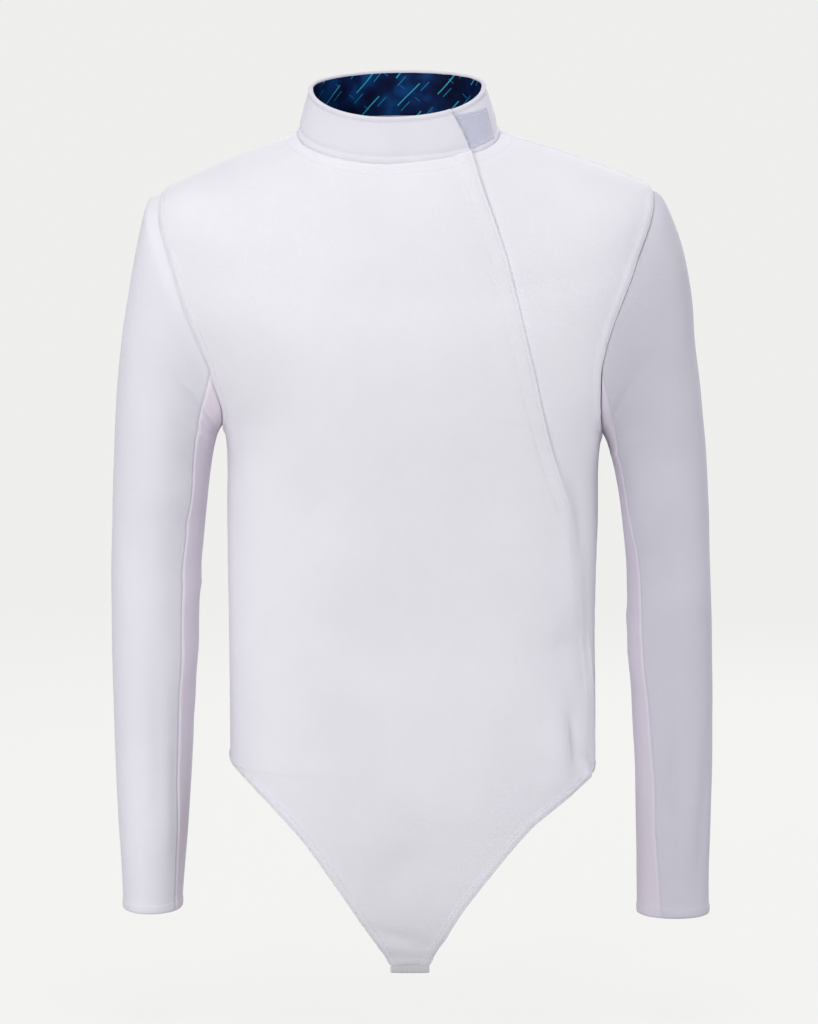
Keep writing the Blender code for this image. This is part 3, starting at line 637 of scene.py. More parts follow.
def edge_height(edge, gap):
    height = -edge.sink * np.exp(-(gap / SINK_WIDTH) ** 2)
    height += edge.rise * ease(gap / BAND_START) * (1 - ease((gap - edge.band) / BAND_END))
    for stitches in (edge.first, edge.band):
        if stitches:
            height -= edge.groove * np.exp(-((gap - stitches) / STITCH_WIDTH) ** 2)
    return height


def rippled(points, size):
    """Soft noise between -1 and 1 that changes over a size in mm."""
    flat = points.reshape(-1, 3) / size
    return np.array([noise.noise(Vector(p)) for p in flat]).reshape(points.shape[:-1])


def dressed(grid, edges, creases=0.0):
    """Points of the grid with the edges' bands and stitches, their puckers and the creases."""
    height = np.zeros(grid.rows.shape) + creases
    for line, edge in edges:
        gap = distance_to(line, grid.points)
        height += edge_height(edge, gap)
        beside = np.exp(-(gap / (edge.band + PUCKER_REACH)) ** 2)
        height += PUCKER * beside * rippled(grid.points + 50.0, PUCKER_SIZE)
    height += RIPPLE * rippled(grid.points, RIPPLE_SIZE)
    return grid.points + grid.normals * height[..., None]


# Meshes

def cloth_map(points):
    """Distances in mm along the rows, from their middle, and down the columns."""
    middle = points.shape[1] // 2
    across = walked_along(points, 1)
    across = across - across[:, middle][:, None]
    return np.stack(np.broadcast_arrays(across, walked_along(points[:, middle])[:, None]), axis=-1)


def ring_map(surface, rows, angles, middle):
    """Distances in mm round each row from one angle, and down the cloth along that angle."""
    keys = rows[:, 0]
    samples = np.arange(math.floor(angles.min()) - 2.0, math.ceil(angles.max()) + 4.0, 2.0)
    walked = walked_along(surface(keys[:, None], samples[None, :]), 1)
    across = np.array([
        np.interp(row, samples, length) - np.interp(middle, samples, length)
        for row, length in zip(angles, walked)])
    down = walked_along(surface(keys, np.full(len(keys), middle)))
    return np.stack(np.broadcast_arrays(across, down[:, None]), axis=-1)


def shell(name, outer, normals, thickness, material, mapped=None):
    """Closed shell under a grid of outer points, with rounded edges all round."""
    rows, columns = outer.shape[:2]
    inner = outer - normals * thickness
    mapped = cloth_map(outer) if mapped is None else mapped
    count = rows * columns
    index = np.arange(count).reshape(rows, columns)
    quads = np.stack((index[:-1, :-1], index[:-1, 1:], index[1:, 1:], index[1:, :-1]), axis=-1)
    outer_faces = quads.reshape(-1, 4)
    inner_faces = outer_faces[:, ::-1] + count
    border = np.concatenate((index[0, :-1], index[:-1, -1], index[-1, :0:-1], index[:0:-1, 0]))
    inward = np.concatenate((index[1, :-1], index[:-1, -2], index[-2, :0:-1], index[:0:-1, 1]))
    flat = outer.reshape(-1, 3)
    away = unit(flat[border] - flat[inward])
    middle = (flat[border] + inner.reshape(-1, 3)[border]) / 2 + away * thickness * 0.35
    ring = np.arange(len(border)) + 2 * count
    following = np.roll(ring, -1)
    next_border = np.roll(border, -1)
    upper = np.stack((border, ring, following, next_border), axis=-1)
    lower = np.stack((ring, border + count, next_border + count, following), axis=-1)
    points = np.concatenate((flat, inner.reshape(-1, 3), middle))
    faces = np.concatenate((outer_faces, inner_faces, upper, lower)).tolist()
    flat_map = mapped.reshape(-1, 2)
    maps = np.concatenate((flat_map, flat_map, flat_map[border]))
    return add_mesh(name, points, faces, maps, material, CREASE_ANGLE)


def add_mesh(name, points, faces, maps, material, sharp=None):
    """Smooth mesh of points and places on the cloth in mm, sharp past an angle in degrees."""
    data = bpy.data.meshes.new(name)
    data.from_pydata((points * MM).tolist(), [], faces)
    layer = data.uv_layers.new(name="cloth")
    corners = np.array([loop.vertex_index for loop in data.loops])
    layer.uv.foreach_set("vector", (maps[corners] * MM).astype(np.float32).ravel())
    data.materials.append(material)
    data.validate()
    data.shade_smooth()
    if sharp:
        data.set_sharp_from_angle(angle=math.radians(sharp))
    piece = bpy.data.objects.new(name, data)
    jacket.objects.link(piece)
    return piece


def resampled(line, pitch):
    walked = walked_along(line)
    at = np.linspace(0.0, walked[-1], max(int(walked[-1] / pitch), 2) + 1)
    return np.stack([np.interp(at, walked, line[:, i]) for i in range(3)], axis=-1)


def laid_on(points, cloth, normals):
    """Points moved onto the cloth, and the cloth's normals there."""
    flat = cloth.reshape(-1, 3)
    near = [np.argmin(((flat - point) ** 2).sum(axis=1)) for point in points]
    turned = normals.reshape(-1, 3)[near]
    lift = np.einsum("ij,ij->i", points - flat[near], turned)
    return points - turned * lift[:, None], turned


def stitch_line(line, offset, cloth, normals):
    """Points for stitches on the cloth at an offset from an edge, into the cloth."""
    at, up = laid_on(resampled(line, STITCH_PITCH), cloth, normals)
    along = unit(np.gradient(at, axis=0))
    aside = unit(np.cross(up, along))
    centre = cloth.reshape(-1, 3).mean(axis=0)
    if np.mean(np.einsum("ij,ij->i", aside, centre - at)) < 0:
        aside = -aside
    return laid_on(at + aside * offset, cloth, normals)


def stitches_along(edges, cloth, normals):
    """Stitch lines beside each edge line, at its edge's own distances."""
    return [stitch_line(line, offset, cloth, normals)
            for line, edge in edges for offset in (edge.first, edge.band) if offset]


def thread_mesh(name, lines):
    """Stitches along lines of points and normals, as one mesh of short round bars."""
    points = []
    faces = []
    for at, up in lines:
        for start, end, normal in zip(at[:-1], at[1:], up[:-1]):
            length = np.linalg.norm(end - start)
            if not 0.5 * STITCH_PITCH <= length <= 2 * STITCH_PITCH:
                continue
            run = (end - start) / length
            aside = np.cross(normal, run)
            first = len(points)
            for part, lift in STITCH_SECTIONS:
                centre = start + run * (length / 2 + STITCH * part) + normal * THREAD * lift
                points += [centre + aside * THREAD, centre + normal * THREAD,
                           centre - aside * THREAD, centre - normal * THREAD]
            for base in range(first, first + 12, 4):
                for k in range(4):
                    following = (k + 1) % 4
                    faces.append((base + k, base + following, base + 4 + following, base + 4 + k))
            faces.append((first + 3, first + 2, first + 1, first))
            faces.append((first + 12, first + 13, first + 14, first + 15))
    points = np.array(points)
    return add_mesh(name, points, faces, points[:, (0, 2)], THREADS)


# Materials

def add_node(tree, kind, **settings):
    made = tree.nodes.new(kind)
    for key, value in settings.items():
        setattr(made, key, value)
    return made


def maths(tree, operation, first, second=None):
    """A Math node on sockets or numbers, and its result."""
    made = add_node(tree, "ShaderNodeMath", operation=operation)
    for socket, value in zip(made.inputs, (first, second)):
        if value is None:
            continue
        if isinstance(value, (int, float)):
            socket.default_value = value
        else:
            tree.links.new(value, socket)
    return made.outputs[0]


def cloth_axes(tree):
    """The cloth's own two coordinates, in metres."""
    mapped = add_node(tree, "ShaderNodeUVMap", uv_map="cloth")
    split = add_node(tree, "ShaderNodeSeparateXYZ")
    tree.links.new(mapped.outputs[0], split.inputs[0])
    return split.outputs[0], split.outputs[1]


def soft_noise(tree, scale, detail=2.0):
    place = add_node(tree, "ShaderNodeTexCoord")
    made = add_node(tree, "ShaderNodeTexNoise")
    made.inputs["Scale"].default_value = scale
    made.inputs["Detail"].default_value = detail
    tree.links.new(place.outputs["Object"], made.inputs["Vector"])
    return made.outputs["Fac"]


def weave(tree, pitch):
    """Height of a plain weave with a pitch in metres between its threads."""
    across, down = cloth_axes(tree)
    turns = math.pi / pitch
    warp = maths(tree, "SINE", maths(tree, "MULTIPLY", across, turns))
    weft = maths(tree, "SINE", maths(tree, "MULTIPLY", down, turns))
    return maths(tree, "MULTIPLY", warp, weft)


def ramp(tree, value, stops):
    made = add_node(tree, "ShaderNodeValToRGB")
    while len(made.color_ramp.elements) < len(stops):
        made.color_ramp.elements.new(0.5)
    for element, (place, colour) in zip(made.color_ramp.elements, stops):
        element.position = place
        element.color = (*colour, 1.0)
    tree.links.new(value, made.inputs[0])
    return made.outputs[0]


def relief(tree, shader, *heights):
    """Bumps of (height, strength, depth in metres), chained onto the shader's normal."""
    socket = shader.inputs["Normal"]
    for height, strength, depth in reversed(heights):
        made = add_node(tree, "ShaderNodeBump")
        made.inputs["Strength"].default_value = strength
        made.inputs["Distance"].default_value = depth
        tree.links.new(height, made.inputs["Height"])
        tree.links.new(made.outputs[0], socket)
        socket = made.inputs["Normal"]


def clouded(tree, shader, scale, dark, light, detail=2.0, low=0.35):
    """Base colour in soft clouds between two tones."""
    tone = ramp(tree, soft_noise(tree, scale, detail), ((low, dark), (1 - low, light)))
    tree.links.new(tone, shader.inputs["Base Color"])


def new_material(name, roughness, sheen, specular=0.35):
    material = bpy.data.materials.new(name)
    material.use_nodes = True
    tree = material.node_tree
    shader = tree.nodes["Principled BSDF"]
    shader.inputs["Roughness"].default_value = roughness
    shader.inputs["Specular IOR Level"].default_value = specular
    shader.inputs["Sheen Weight"].default_value = sheen
    shader.inputs["Sheen Roughness"].default_value = 0.45
    return material, tree, shader


def woven_cloth(name, dark, light, pitch=0.0009, roughness=0.78, sheen=0.25):
    material, tree, shader = new_material(name, roughness, sheen)
    clouded(tree, shader, 9.0, dark, light, detail=4.0)
    relief(tree, shader, (soft_noise(tree, 160.0), 0.25, 0.0004),
           (weave(tree, pitch), 0.45, 0.00016))
    return material


def strokes(tree, along, aside, lane_width, thickness, pitch, share, shift):
    """One where a stroke lies: in the middle of a lane, for a share of each pitch along it."""
    lane = maths(tree, "DIVIDE", aside, lane_width)
    from_middle = maths(tree, "ABSOLUTE", maths(tree, "SUBTRACT", maths(tree, "FRACT", lane), 0.5))
    on_line = maths(tree, "LESS_THAN", from_middle, thickness / lane_width / 2)
    shifted = maths(tree, "MULTIPLY", maths(tree, "FLOOR", lane), shift)
    step = maths(tree, "FRACT", maths(tree, "ADD", maths(tree, "DIVIDE", along, pitch), shifted))
    return maths(tree, "MULTIPLY", on_line, maths(tree, "LESS_THAN", step, share))


def mixed_colour(tree, factor, first, second):
    made = add_node(tree, "ShaderNodeMix", data_type="RGBA")
    tree.links.new(factor, made.inputs[0])
    for socket, value in ((made.inputs[6], first), (made.inputs[7], second)):
        if isinstance(value, tuple):
            socket.default_value = (*value, 1.0)
        else:
            tree.links.new(value, socket)
    return made.outputs[2]


# The lining's strokes: lane width, thickness and spacing along the lane in metres, the share
# of it that is stroke, and how far each lane is set on from the one before
LONG_STROKES = (0.0215, 0.0013, 0.0460, 0.56, 0.37)
SHORT_STROKES = (0.0215, 0.0010, 0.0230, 0.45, 0.61)
CROSS_STROKES = (0.0310, 0.0009, 0.0215, 0.30, 0.43)
SHORT_STROKES_ASIDE = 0.0062
STROKE_SLANT = math.radians(56)


def lining_cloth():
    """Navy weave with lighter clouds and rows of slanting strokes, long and short."""
    material, tree, shader = new_material("lining", 0.7, 0.0, 0.12)
    across, down = cloth_axes(tree)
    run = math.cos(STROKE_SLANT)
    rise = math.sin(STROKE_SLANT)
    along = maths(tree, "SUBTRACT", maths(tree, "MULTIPLY", across, run),
                  maths(tree, "MULTIPLY", down, rise))
    aside = maths(tree, "ADD", maths(tree, "MULTIPLY", across, rise),
                  maths(tree, "MULTIPLY", down, run))
    short_aside = maths(tree, "ADD", aside, SHORT_STROKES_ASIDE)
    colour = ramp(tree, soft_noise(tree, 38.0), (
        (0.36, (0.0003, 0.0040, 0.0280)), (0.50, (0.0006, 0.0130, 0.0760)),
        (0.66, (0.0015, 0.0620, 0.2300))))
    for drawn, tone in (
            (strokes(tree, aside, along, *CROSS_STROKES), (0.008, 0.130, 0.300)),
            (strokes(tree, along, short_aside, *SHORT_STROKES), (0.012, 0.200, 0.390)),
            (strokes(tree, along, aside, *LONG_STROKES), (0.030, 0.380, 0.540))):
        colour = mixed_colour(tree, drawn, colour, tone)
    tree.links.new(colour, shader.inputs["Base Color"])
    relief(tree, shader, (weave(tree, 0.0007), 0.4, 0.0001))
    return material


def loop_pile():
    material, tree, shader = new_material("loop_pile", 0.95, 0.4)
    clouded(tree, shader, 900.0, (0.47, 0.485, 0.59), (0.58, 0.595, 0.70), low=0.3)
    relief(tree, shader, (soft_noise(tree, 1600.0), 0.6, 0.0004))
    return material


def ribs(tree, coordinate, pitch):
    return maths(tree, "SINE", maths(tree, "MULTIPLY", coordinate, 2 * math.pi / pitch))


def webbing_with_painted_light():
    """Narrow strap with ribs along it, in its own pale tone raised as painted light where it lies
    in shade.
    """
    material, tree, shader = new_material("webbing_with_painted_light", 0.8, 0.2)
    across, down = cloth_axes(tree)
    # The webbing's own pale tone, raised above the jacket's cloth as painted light against the
    # shade under the point.
    clouded(tree, shader, 25.0, (0.86, 0.85, 0.89), (0.91, 0.90, 0.93))
    relief(tree, shader, (ribs(tree, across, 0.0022), 0.4, 0.0003),
           (ribs(tree, down, 0.0014), 0.3, 0.0002))
    return material


def moulded():
    material, tree, shader = new_material("zip_teeth", 0.4, 0.0)
    clouded(tree, shader, 60.0, (0.66, 0.66, 0.69), (0.74, 0.74, 0.77), low=0.3)
    return material


jacket = bpy.data.collections.new("fencing_jacket_looks")
bpy.context.scene.collection.children.link(jacket)

WHITE = woven_cloth("white_weave", (0.775, 0.768, 0.810), (0.815, 0.808, 0.850))
# The collar's cloth: the body's white cloth painted darker, as painted shade.
SHADED_COLLAR_CLOTH = woven_cloth("collar_painted_shade_weave", (0.710, 0.705, 0.760), (0.750, 0.745, 0.800))
# The sleeves' cloth: the body's white cloth painted a touch darker on the right sleeve and much
# darker on the left, as painted shade.
SHADED_RIGHT_SLEEVE = woven_cloth("right_sleeve_painted_shade_weave", (0.755, 0.748, 0.800), (0.795, 0.788, 0.840))
SHADED_LEFT_SLEEVE = woven_cloth("left_sleeve_painted_shade_weave", (0.590, 0.585, 0.645), (0.630, 0.625, 0.685))
# The under sleeves' cloth: the body's white cloth with a painted pinkish shade tint, painted darker
# on the left sleeve, as painted shade.
RIGHT_UNDER_SHADE_TINT = woven_cloth("right_under_painted_shade_weave", (0.820, 0.755, 0.845), (0.860, 0.805, 0.885))
LEFT_UNDER_SHADE_TINT = woven_cloth("left_under_painted_shade_weave", (0.680, 0.630, 0.715), (0.720, 0.675, 0.755))
TAPE = woven_cloth("tape_weave", (0.67, 0.66, 0.70), (0.72, 0.71, 0.75), 0.0006)
THREADS = woven_cloth("thread", (0.77, 0.765, 0.80), (0.81, 0.80, 0.84), 0.0004, 0.6, 0.3)
LINING = lining_cloth()
PILE = loop_pile()
# The strap's webbing: its own pale tone plus painted light.
WEBBING_WITH_PAINTED_LIGHT = webbing_with_painted_light()
TEETH = moulded()


# Pieces

def body_creases(rows, angles, points):
    """Creases of the body's cloth, and its swell along the lap's edge."""
    drops = np.linspace(NECK_DROP, HIP_DROP, 200)
    gap = distance_to(body_point(drops, lap_angle(drops)), points)
    swell = LAP_SWELL * np.exp(-(gap / LAP_SWELL_WIDTH) ** 2)
    return fold_rise(BODY_CREASES, rows, angles, 1.0, BODY_MM_PER_DEGREE) + swell


def shoulder_seam(angle):
    return body_line(np.linspace(NECK_DROP, SHOULDER_DROP, 60), angle)


def side_seam(angle):
    return body_line(np.linspace(UNDERARM_DROP, HIP_DROP, 120), angle)


def body_cloth(name, grid, neck, sewn, plain, rise=0.0):
    """A panel of the body with its seams, of which the sewn ones have stitches."""
    edges = sewn + plain + ((neck, NECK_SEAM),)
    outer = dressed(grid, edges, body_creases(grid.rows, grid.angles, grid.points) + rise)
    piece = shell(f"{name}_cloth", outer, grid.normals, SHELL, WHITE, grid.mapped)
    threads = stitches_along(sewn, outer, grid.normals)
    threads.append(stitch_line(neck, NECK_STITCH, outer, grid.normals))
    return piece, grid, thread_mesh(f"{name}_stitches", threads)


def make_front_right():
    grid = front_right_grid()
    edge_drops = grid.rows[:, 0]
    brim = body_point(edge_drops, lap_angle(edge_drops))
    reach = np.linalg.norm(grid.points - brim[:, None, :], axis=-1)
    neck = body_line(NECK_DROP, np.linspace(-90, lap_angle(NECK_DROP), 200))
    lap_drops = np.linspace(NECK_DROP, HIP_DROP, 300)
    point = grid.points[-len(POINT_DROPS) - 1:]
    sewn = ((armhole_line(-1, 0.0, 180.0), STITCHED_SEAM),
            (body_line(lap_drops, lap_angle(lap_drops)), LAP_BAND),
            (point[:, 0], POINT_HEM), (point[:, -1], POINT_HEM))
    plain = ((shoulder_seam(-90.0), PLAIN_SEAM), (side_seam(-90.0), PLAIN_SEAM),
             (point[-1], POINT_HEM))
    return body_cloth("front_right", grid, neck, sewn, plain, lap_rise(grid.rows, reach))


def make_front_left():
    grid = front_left_grid()
    neck = body_line(NECK_DROP, np.linspace(angle_beside_lap(NECK_DROP, UNDERLAP), 90, 120))
    sewn = ((armhole_line(1, 0.0, 180.0), STITCHED_SEAM), (grid.points[-1], POINT_HEM))
    plain = ((shoulder_seam(90.0), PLAIN_SEAM), (side_seam(90.0), PLAIN_SEAM))
    return body_cloth("front_left", grid, neck, sewn, plain)


def make_back():
    grid = back_grid()
    neck = body_line(NECK_DROP, np.linspace(90, 270, 200))
    sewn = ((armhole_line(1, 180.0, 360.0), STITCHED_SEAM),
            (armhole_line(-1, 180.0, 360.0), STITCHED_SEAM), (grid.points[-1], BACK_HEM),
            (shoulder_seam(90.0), STITCHED_SEAM), (shoulder_seam(270.0), STITCHED_SEAM))
    plain = ((side_seam(90.0), PLAIN_SEAM), (side_seam(270.0), PLAIN_SEAM))
    return body_cloth("back", grid, neck, sewn, plain)


def make_sleeve(side, part, material):
    name = f"sleeve_{'left' if side > 0 else 'right'}_{part}"
    grid = sleeve_grid(side, part)
    creases = LEFT_SLEEVE_CREASES if side > 0 else RIGHT_SLEEVE_CREASES
    height = fold_rise(creases, grid.rows, grid.angles, SLEEVE_ROW_MM, SLEEVE_MM_PER_DEGREE)
    cuff = (grid.points[-1], CUFF_HEM)
    plain = [(line, PLAIN_SEAM) for line in (grid.points[0], grid.points[:, 0], grid.points[:, -1])]
    outer = dressed(grid, plain + [cuff], height)
    piece = shell(f"{name}_cloth", outer, grid.normals, SHELL, material, grid.mapped)
    threads = stitches_along((cuff,), outer, grid.normals)
    return piece, grid, thread_mesh(f"{name}_stitches", threads)


CollarPoint = namedtuple("CollarPoint", "drop height")

COLLAR_PROFILE = rows_of(CollarPoint, (
    (5.2, -2.0), (4.2, -0.9), (3.4, 0.0), (2.4, 0.75), (1.2, 1.05), (-0.2, 1.05),
    (-1.4, 0.75), (-2.3, 0.10), (-3.1, -0.40), (-3.9, -0.30), (-4.9, 0.10), (-8.0, 0.25),
    (-12.0, 0.25), (-17.0, 0.20), (-22.0, 0.15), (-27.0, 0.15), (-31.0, 0.10), (-32.8, -0.10),
    (-33.8, -0.40), (-34.5, -0.45), (-35.1, 0.00), (-35.8, 0.55), (-36.7, 0.80), (-37.7, 0.65),
    (-38.5, 0.15), (-39.1, -0.65), (-39.2, -1.60), (-38.9, -2.45), (-38.3, -3.00), (-37.5, -3.10),
    (-37.0, -2.70), (-36.8, -2.20), (-20.0, -2.20), (5.2, -2.20),
))

# The loop tape: its ends as shares of the collar's length, the drops of its foot and of its
# top at its first end, how much lower the top is at the other, its face's height, its thickness
PATCH_START = 0.0238
PATCH_END = 0.119
PATCH_FOOT_DROP = -0.5
PATCH_TOP_DROP = -34.0
PATCH_TOP_SLANT = 8.0
PATCH_HEIGHT = 0.9
PATCH_SHELL = 0.8

# The lining: its first and last drop, its end as a share of the collar's length, its depth
# under the collar's outer face, and the thicknesses of the other narrow pieces
LINING_DROPS = (1.5, -37.4)
LINING_END = 0.975
LINING_DEPTH = 2.5
LINING_SHELL = 0.9
TAPE_SHELL = 0.8
STRAP_SHELL = 1.7


def collar_columns(drops, last=1.0):
    """Angles round the collar up to a share of its length, slanting at its over end."""
    slant = COLLAR_RIM_SLANT * (NECK_DROP - drops) / (NECK_DROP - RIM_DROP)
    fine = np.array((0.0, 0.0025, 0.005, 0.009, 0.013))
    shares = last * np.concatenate((fine, np.linspace(0.018, 0.982, 170), 1 - fine[::-1]))
    ends = COLLAR_OVER_END - slant
    return COLLAR_UNDER_END + shares[None, :] * (ends - COLLAR_UNDER_END)[:, None]


def collar_sheet(drops, angles, heights):
    """Points at heights over the collar's outer face, and the face's normals."""
    drops = np.repeat(drops[:, None], angles.shape[1], axis=1)
    normals = surface_normal(collar_point, drops, angles)
    rise = collar_lap_rise(drops, angles) + heights
    return collar_point(drops, angles) + normals * rise[..., None], normals


def make_collar():
    profile = np.array(COLLAR_PROFILE)
    angles = collar_columns(profile[:, 0])
    heights = np.repeat(profile[:, 1][:, None], angles.shape[1], axis=1)
    points, normals = collar_sheet(profile[:, 0], angles, heights)
    ends = np.linalg.norm(points - points[:, -1:], axis=-1)
    outer_rows = (profile[:, 1] > -1.0)[:, None]
    bump = np.where(outer_rows, edge_height(COLLAR_END, ends), 0.0)
    bump = bump + COLLAR_RIPPLE * rippled(points, COLLAR_RIPPLE_SIZE)
    bump = bump + PUCKER * rippled(points + 20.0, COLLAR_PUCKER_SIZE)
    points = points + normals * bump[..., None]
    drops = np.linspace(NECK_DROP, RIM_DROP, 9)
    cut, _ = collar_sheet(drops, collar_columns(drops), 0.0)
    return collar_mesh(points), cut


def collar_mesh(points):
    """Closed band whose rows run up the outside, over the rim and down the inside."""
    rows, columns = points.shape[:2]
    index = np.arange(rows * columns).reshape(rows, columns)
    following = np.roll(index, -1, axis=0)
    quads = np.stack((index[:, :-1], following[:, :-1], following[:, 1:], index[:, 1:]), axis=-1)
    faces = quads.reshape(-1, 4).tolist() + [index[::-1, 0].tolist(), index[:, -1].tolist()]
    return add_mesh("collar_cloth", points.reshape(-1, 3), faces,
                    cloth_map(points).reshape(-1, 2), SHADED_COLLAR_CLOTH, COLLAR_CREASE_ANGLE)


def make_lining():
    drops = np.linspace(*LINING_DROPS, 15)
    points, normals = collar_sheet(drops, collar_columns(drops, LINING_END), -LINING_DEPTH)
    points = points + normals * (LINING_RIPPLE * rippled(points, LINING_RIPPLE_SIZE))[..., None]
    return shell("collar_lining_cloth", points, normals, LINING_SHELL, LINING), points


def make_patch():
    """Loop tape on the collar's under end, its top more level than the collar's rim."""
    shares = np.linspace(0.0, 1.0, 36)
    top = PATCH_TOP_DROP + PATCH_TOP_SLANT * shares
    angles = COLLAR_UNDER_END + (COLLAR_OVER_END - COLLAR_UNDER_END) * (
        PATCH_START + (PATCH_END - PATCH_START) * shares)
    drops = np.linspace(np.full(len(shares), PATCH_FOOT_DROP), top, 34)
    angles = np.repeat(angles[None, :], len(drops), axis=0)
    normals = surface_normal(collar_point, drops, angles)
    points = collar_point(drops, angles) + normals * PATCH_HEIGHT
    grid = Grid(drops, angles, points, normals, None)
    borders = (points[0], points[-1], points[:, 0], points[:, -1])
    outer = dressed(grid, [(border, PATCH_EDGE) for border in borders])
    piece = shell("collar_patch_pile", outer, normals, PATCH_SHELL, PILE)
    threads = [stitch_line(border, PATCH_EDGE.band, outer, normals)
               for border in (points[0], points[-1], points[:, -1])]
    return piece, points, thread_mesh("collar_patch_stitches", threads)


# The zip's teeth: their spacing and sizes from a tooth's middle, how far each is set to its
# side, and how far the row lies under the tapes' outer face
TOOTH_PITCH = 1.25
TOOTH_WIDTH = (-2.1, 2.1)
TOOTH_LENGTH = (-0.42, 0.42)
TOOTH_HEIGHT = (-0.7, 0.5)
TOOTH_SHIFT = 1.1
TOOTH_DEPTH = 0.9
BOX_FACES = ((0, 1, 3, 2), (4, 6, 7, 5), (0, 4, 5, 1), (2, 3, 7, 6), (0, 2, 6, 4), (1, 5, 7, 3))


def make_zip():
    drops = np.concatenate((
        np.linspace(ZIP_TOP_DROP, SHOULDER_DROP, 12), armhole_drop(np.linspace(6, 180, 24)),
        np.linspace(UNDERARM_DROP + 9, HIP_DROP, 36)))
    reaches = UNDERLAP + ZIP_WIDTH * np.linspace(1.0, 0.012, 9)
    angles = np.stack([angle_beside_lap(drops, reach) for reach in reaches], axis=-1)
    rows = np.repeat(drops[:, None], angles.shape[1], axis=1)
    points = body_point(rows, angles)
    normals = surface_normal(body_point, rows, angles)
    points = points + normals * body_creases(rows, angles, points)[..., None]
    tapes = shell("zip_tapes", points, normals, TAPE_SHELL, TAPE)
    line = resampled(points[:, 4] - normals[:, 4] * TOOTH_DEPTH, TOOTH_PITCH)
    _, up = laid_on(line, points, normals)
    along = unit(np.gradient(line, axis=0))
    aside = np.cross(up, along)
    corners = []
    faces = []
    for i, centre in enumerate(line):
        middle = centre + aside[i] * (TOOTH_SHIFT if i % 2 else -TOOTH_SHIFT)
        base = len(corners)
        corners += [middle + aside[i] * a + along[i] * b + up[i] * c
                    for a in TOOTH_WIDTH for b in TOOTH_LENGTH for c in TOOTH_HEIGHT]
        faces += [[base + k for k in face] for face in BOX_FACES]
    corners = np.array(corners)
    teeth = add_mesh("zip_teeth", corners, faces, corners[:, (0, 2)], TEETH, TOOTH_CREASE_ANGLE)
    return tapes, points, teeth


def make_strap():
    """Crotch strap from inside the front's point to inside the back hem."""
    shares = np.array((-1.0, -0.97, -0.9, -0.6, -0.3, 0.0, 0.3, 0.6, 0.9, 0.97, 1.0))
    xs = STRAP_MIDDLE_X + STRAP_HALF_WIDTH * shares
    rows = []
    for drops, low, high in ((STRAP_FRONT_DROPS, -60, 60), (STRAP_BACK_DROPS, 240, 120)):
        for drop in map(float, drops):
            angles = np.array([
                angle_on_line((LinePoint(-TIP_DROP, x), LinePoint(0, x)), drop, low, high)
                for x in xs])
            normals = surface_normal(body_point, drop, angles)
            rows.append((body_point(drop, angles) - normals * (WALL + STRAP_GAP), normals))
    line = np.array([(0.0, p.y, p.z) for p in STRAP_LINE])
    keys = np.arange(len(line), dtype=float)
    at = np.linspace(0, len(line) - 1, 60)
    line = np.stack([curve_at(keys, line[:, i], at) for i in range(3)], axis=-1)
    free = []
    for here, run in zip(line, unit(np.gradient(line, axis=0))):
        points = np.array([(x, here[1], here[2]) for x in xs])
        free.append((points, np.array([np.cross(run, (1.0, 0.0, 0.0))] * len(xs))))
    rows[len(STRAP_FRONT_DROPS):len(STRAP_FRONT_DROPS)] = free
    points, normals = (np.array(part) for part in zip(*rows))
    points = points - normals * (STRAP_EDGE * np.abs(shares) ** 8)[None, :, None]
    return shell("crotch_strap_web", points, normals, STRAP_SHELL, WEBBING_WITH_PAINTED_LIGHT), points


def declare_sheet(points):
    """Measures a piece's cut along its rows and columns of points; the sizes are not used."""
    points = points * MM
    across = walked_along(points, 1)[:, -1].max()
    down = walked_along(points)[-1].max()


def settle(piece, node, cut, trims=()):
    """Attaches a node's cloth, with the stitches or teeth on it, to the root, hides the node's
    solid and measures its cut.
    """
    for part in (piece, *trims):
        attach(part, "root")
    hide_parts(node)
    declare_sheet(cut)


# Each sleeve part with its cloth, whose tones hold painted shade.
SLEEVE_PARTS = (
    (-1, "right", "upper", SHADED_RIGHT_SLEEVE),
    (-1, "right", "under", RIGHT_UNDER_SHADE_TINT),
    (1, "left", "upper", SHADED_LEFT_SLEEVE),
    (1, "left", "under", LEFT_UNDER_SHADE_TINT),
)

BODY_PARTS = (
    ("front_right", make_front_right, ("front_left", "back")),
    ("front_left", make_front_left, ("back",)),
    ("back", make_back, ("front_right", "front_left")),
)


def main():
    for name, make, neighbours in BODY_PARTS:
        piece, grid, threads = make()
        settle(piece, name, grid.points, (threads,))
    for side, word, part, material in SLEEVE_PARTS:
        piece, grid, threads = make_sleeve(side, part, material)
        neighbours = ("front_left" if side > 0 else "front_right", "back")
        settle(piece, f"sleeve_{word}_{part}", grid.points, (threads,))
    collar, cut = make_collar()
    settle(collar, "collar", cut)
    lining, cut = make_lining()
    settle(lining, "collar_lining", cut)
    patch, cut, threads = make_patch()
    settle(patch, "collar_patch", cut, (threads,))
    tapes, cut, teeth = make_zip()
    settle(tapes, "zip", cut, (teeth,))
    strap, cut = make_strap()
    settle(strap, "crotch_strap", cut)


# The floor, in metres: its drop, the radii of its flat rings, the radius of the bend round
# them, how high the wall over the bend ends, and its steps
FLOOR_DROP = -0.80
FLOOR_GLOW = 0.82
FLOOR_RADII = (1.0, 2.5, 4.0)
FLOOR_BEND = 2.5
FLOOR_WALL = 4.0
FLOOR_STEPS = 72
BEND_STEPS = 12


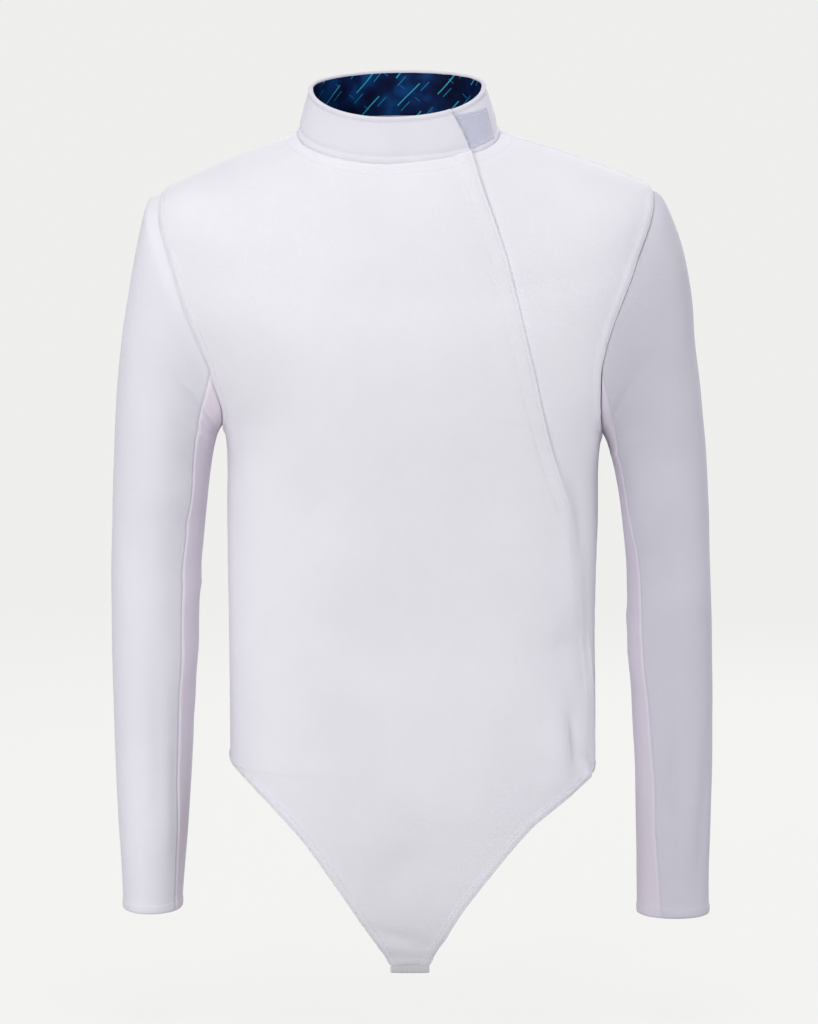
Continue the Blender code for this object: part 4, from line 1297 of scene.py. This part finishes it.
def make_stage():
    """Round pale floor that curves up far away on all sides."""
    profile = [(radius, 0.0) for radius in FLOOR_RADII]
    edge = FLOOR_RADII[-1]
    for i in range(1, BEND_STEPS + 1):
        turn = math.radians(90 * i / BEND_STEPS)
        profile.append((edge + FLOOR_BEND * math.sin(turn), FLOOR_BEND * (1 - math.cos(turn))))
    profile.append((edge + FLOOR_BEND, FLOOR_WALL))
    points = [
        (radius * math.cos(turn), radius * math.sin(turn), FLOOR_DROP + height)
        for radius, height in profile
        for turn in (2 * math.pi * k / FLOOR_STEPS for k in range(FLOOR_STEPS))]
    points.append((0.0, 0.0, FLOOR_DROP))
    faces = []
    for k in range(FLOOR_STEPS):
        following = (k + 1) % FLOOR_STEPS
        faces.append((len(points) - 1, following, k))
        for base in range(0, FLOOR_STEPS * (len(profile) - 1), FLOOR_STEPS):
            faces.append((base + k, base + following, base + following + FLOOR_STEPS,
                          base + k + FLOOR_STEPS))
    data = bpy.data.meshes.new("floor")
    data.from_pydata(points, [], faces)
    data.shade_smooth()
    material, _, shader = new_material("pale_floor", 1.0, 0.0, 0.0)
    shader.inputs["Base Color"].default_value = (0.08, 0.08, 0.079, 1.0)
    shader.inputs["Emission Color"].default_value = (1.0, 1.0, 0.983, 1.0)
    shader.inputs["Emission Strength"].default_value = FLOOR_GLOW
    data.materials.append(material)
    floor = bpy.data.objects.new("floor", data)
    floor.visible_diffuse = False
    floor.visible_glossy = False
    bpy.context.scene.collection.objects.link(floor)


CAMERA_TARGET = (-0.0018, 0.0, -0.342)
CAMERA_DISTANCE = 3.0
CAMERA_RISE = 4.0
CAMERA_LENS = 117.2


def make_camera():
    data = bpy.data.cameras.new("camera")
    data.sensor_fit = "VERTICAL"
    data.sensor_height = 36.0
    data.lens = CAMERA_LENS
    data.clip_end = 50.0
    camera = bpy.data.objects.new("camera", data)
    rise = math.radians(CAMERA_RISE)
    target = Vector(CAMERA_TARGET)
    camera.location = target + CAMERA_DISTANCE * Vector((0.0, -math.cos(rise), math.sin(rise)))
    camera.rotation_euler = (math.pi / 2 - rise, 0.0, 0.0)
    bpy.context.scene.collection.objects.link(camera)
    bpy.context.scene.camera = camera


Light = namedtuple("Light", "name place size power colour")

LIGHTS = rows_of(Light, (
    ("key", (-1.2, -2.75, 0.05), 1.0, 40.0, (1.0, 0.99, 0.985)),
    ("side", (-2.6, -0.8, -0.5), 1.4, 9.0, (0.99, 0.97, 1.0)),
    ("top", (0.0, -0.4, 2.2), 1.4, 21.0, (1.0, 0.99, 0.99)),
    ("fill", (2.65, -0.6, -0.4), 1.4, 24.0, (0.98, 0.96, 1.0)),
    ("rear", (0.7, 2.4, 1.2), 1.6, 30.0, (1.0, 0.98, 0.98)),
))
LIGHTS_TARGET = (0.0, 0.0, -0.25)
WORLD_GLOW = 0.45


def make_lights():
    scene = bpy.context.scene
    scene.view_settings.view_transform = "Standard"
    world = bpy.data.worlds.new("studio")
    world.use_nodes = True
    background = world.node_tree.nodes["Background"]
    background.inputs["Color"].default_value = (0.965, 0.955, 1.0, 1.0)
    background.inputs["Strength"].default_value = WORLD_GLOW
    scene.world = world
    for name, place_at, size, power, colour in LIGHTS:
        data = bpy.data.lights.new(name, "AREA")
        data.shape = "DISK"
        data.size = size
        data.energy = power
        data.color = colour
        light = bpy.data.objects.new(name, data)
        light.location = place_at
        towards = Vector(LIGHTS_TARGET) - Vector(place_at)
        light.rotation_euler = towards.to_track_quat("-Z", "Y").to_euler()
        light.visible_camera = False
        scene.collection.objects.link(light)


main()
make_stage()
make_camera()
make_lights()

bpy.context.view_layer.update()
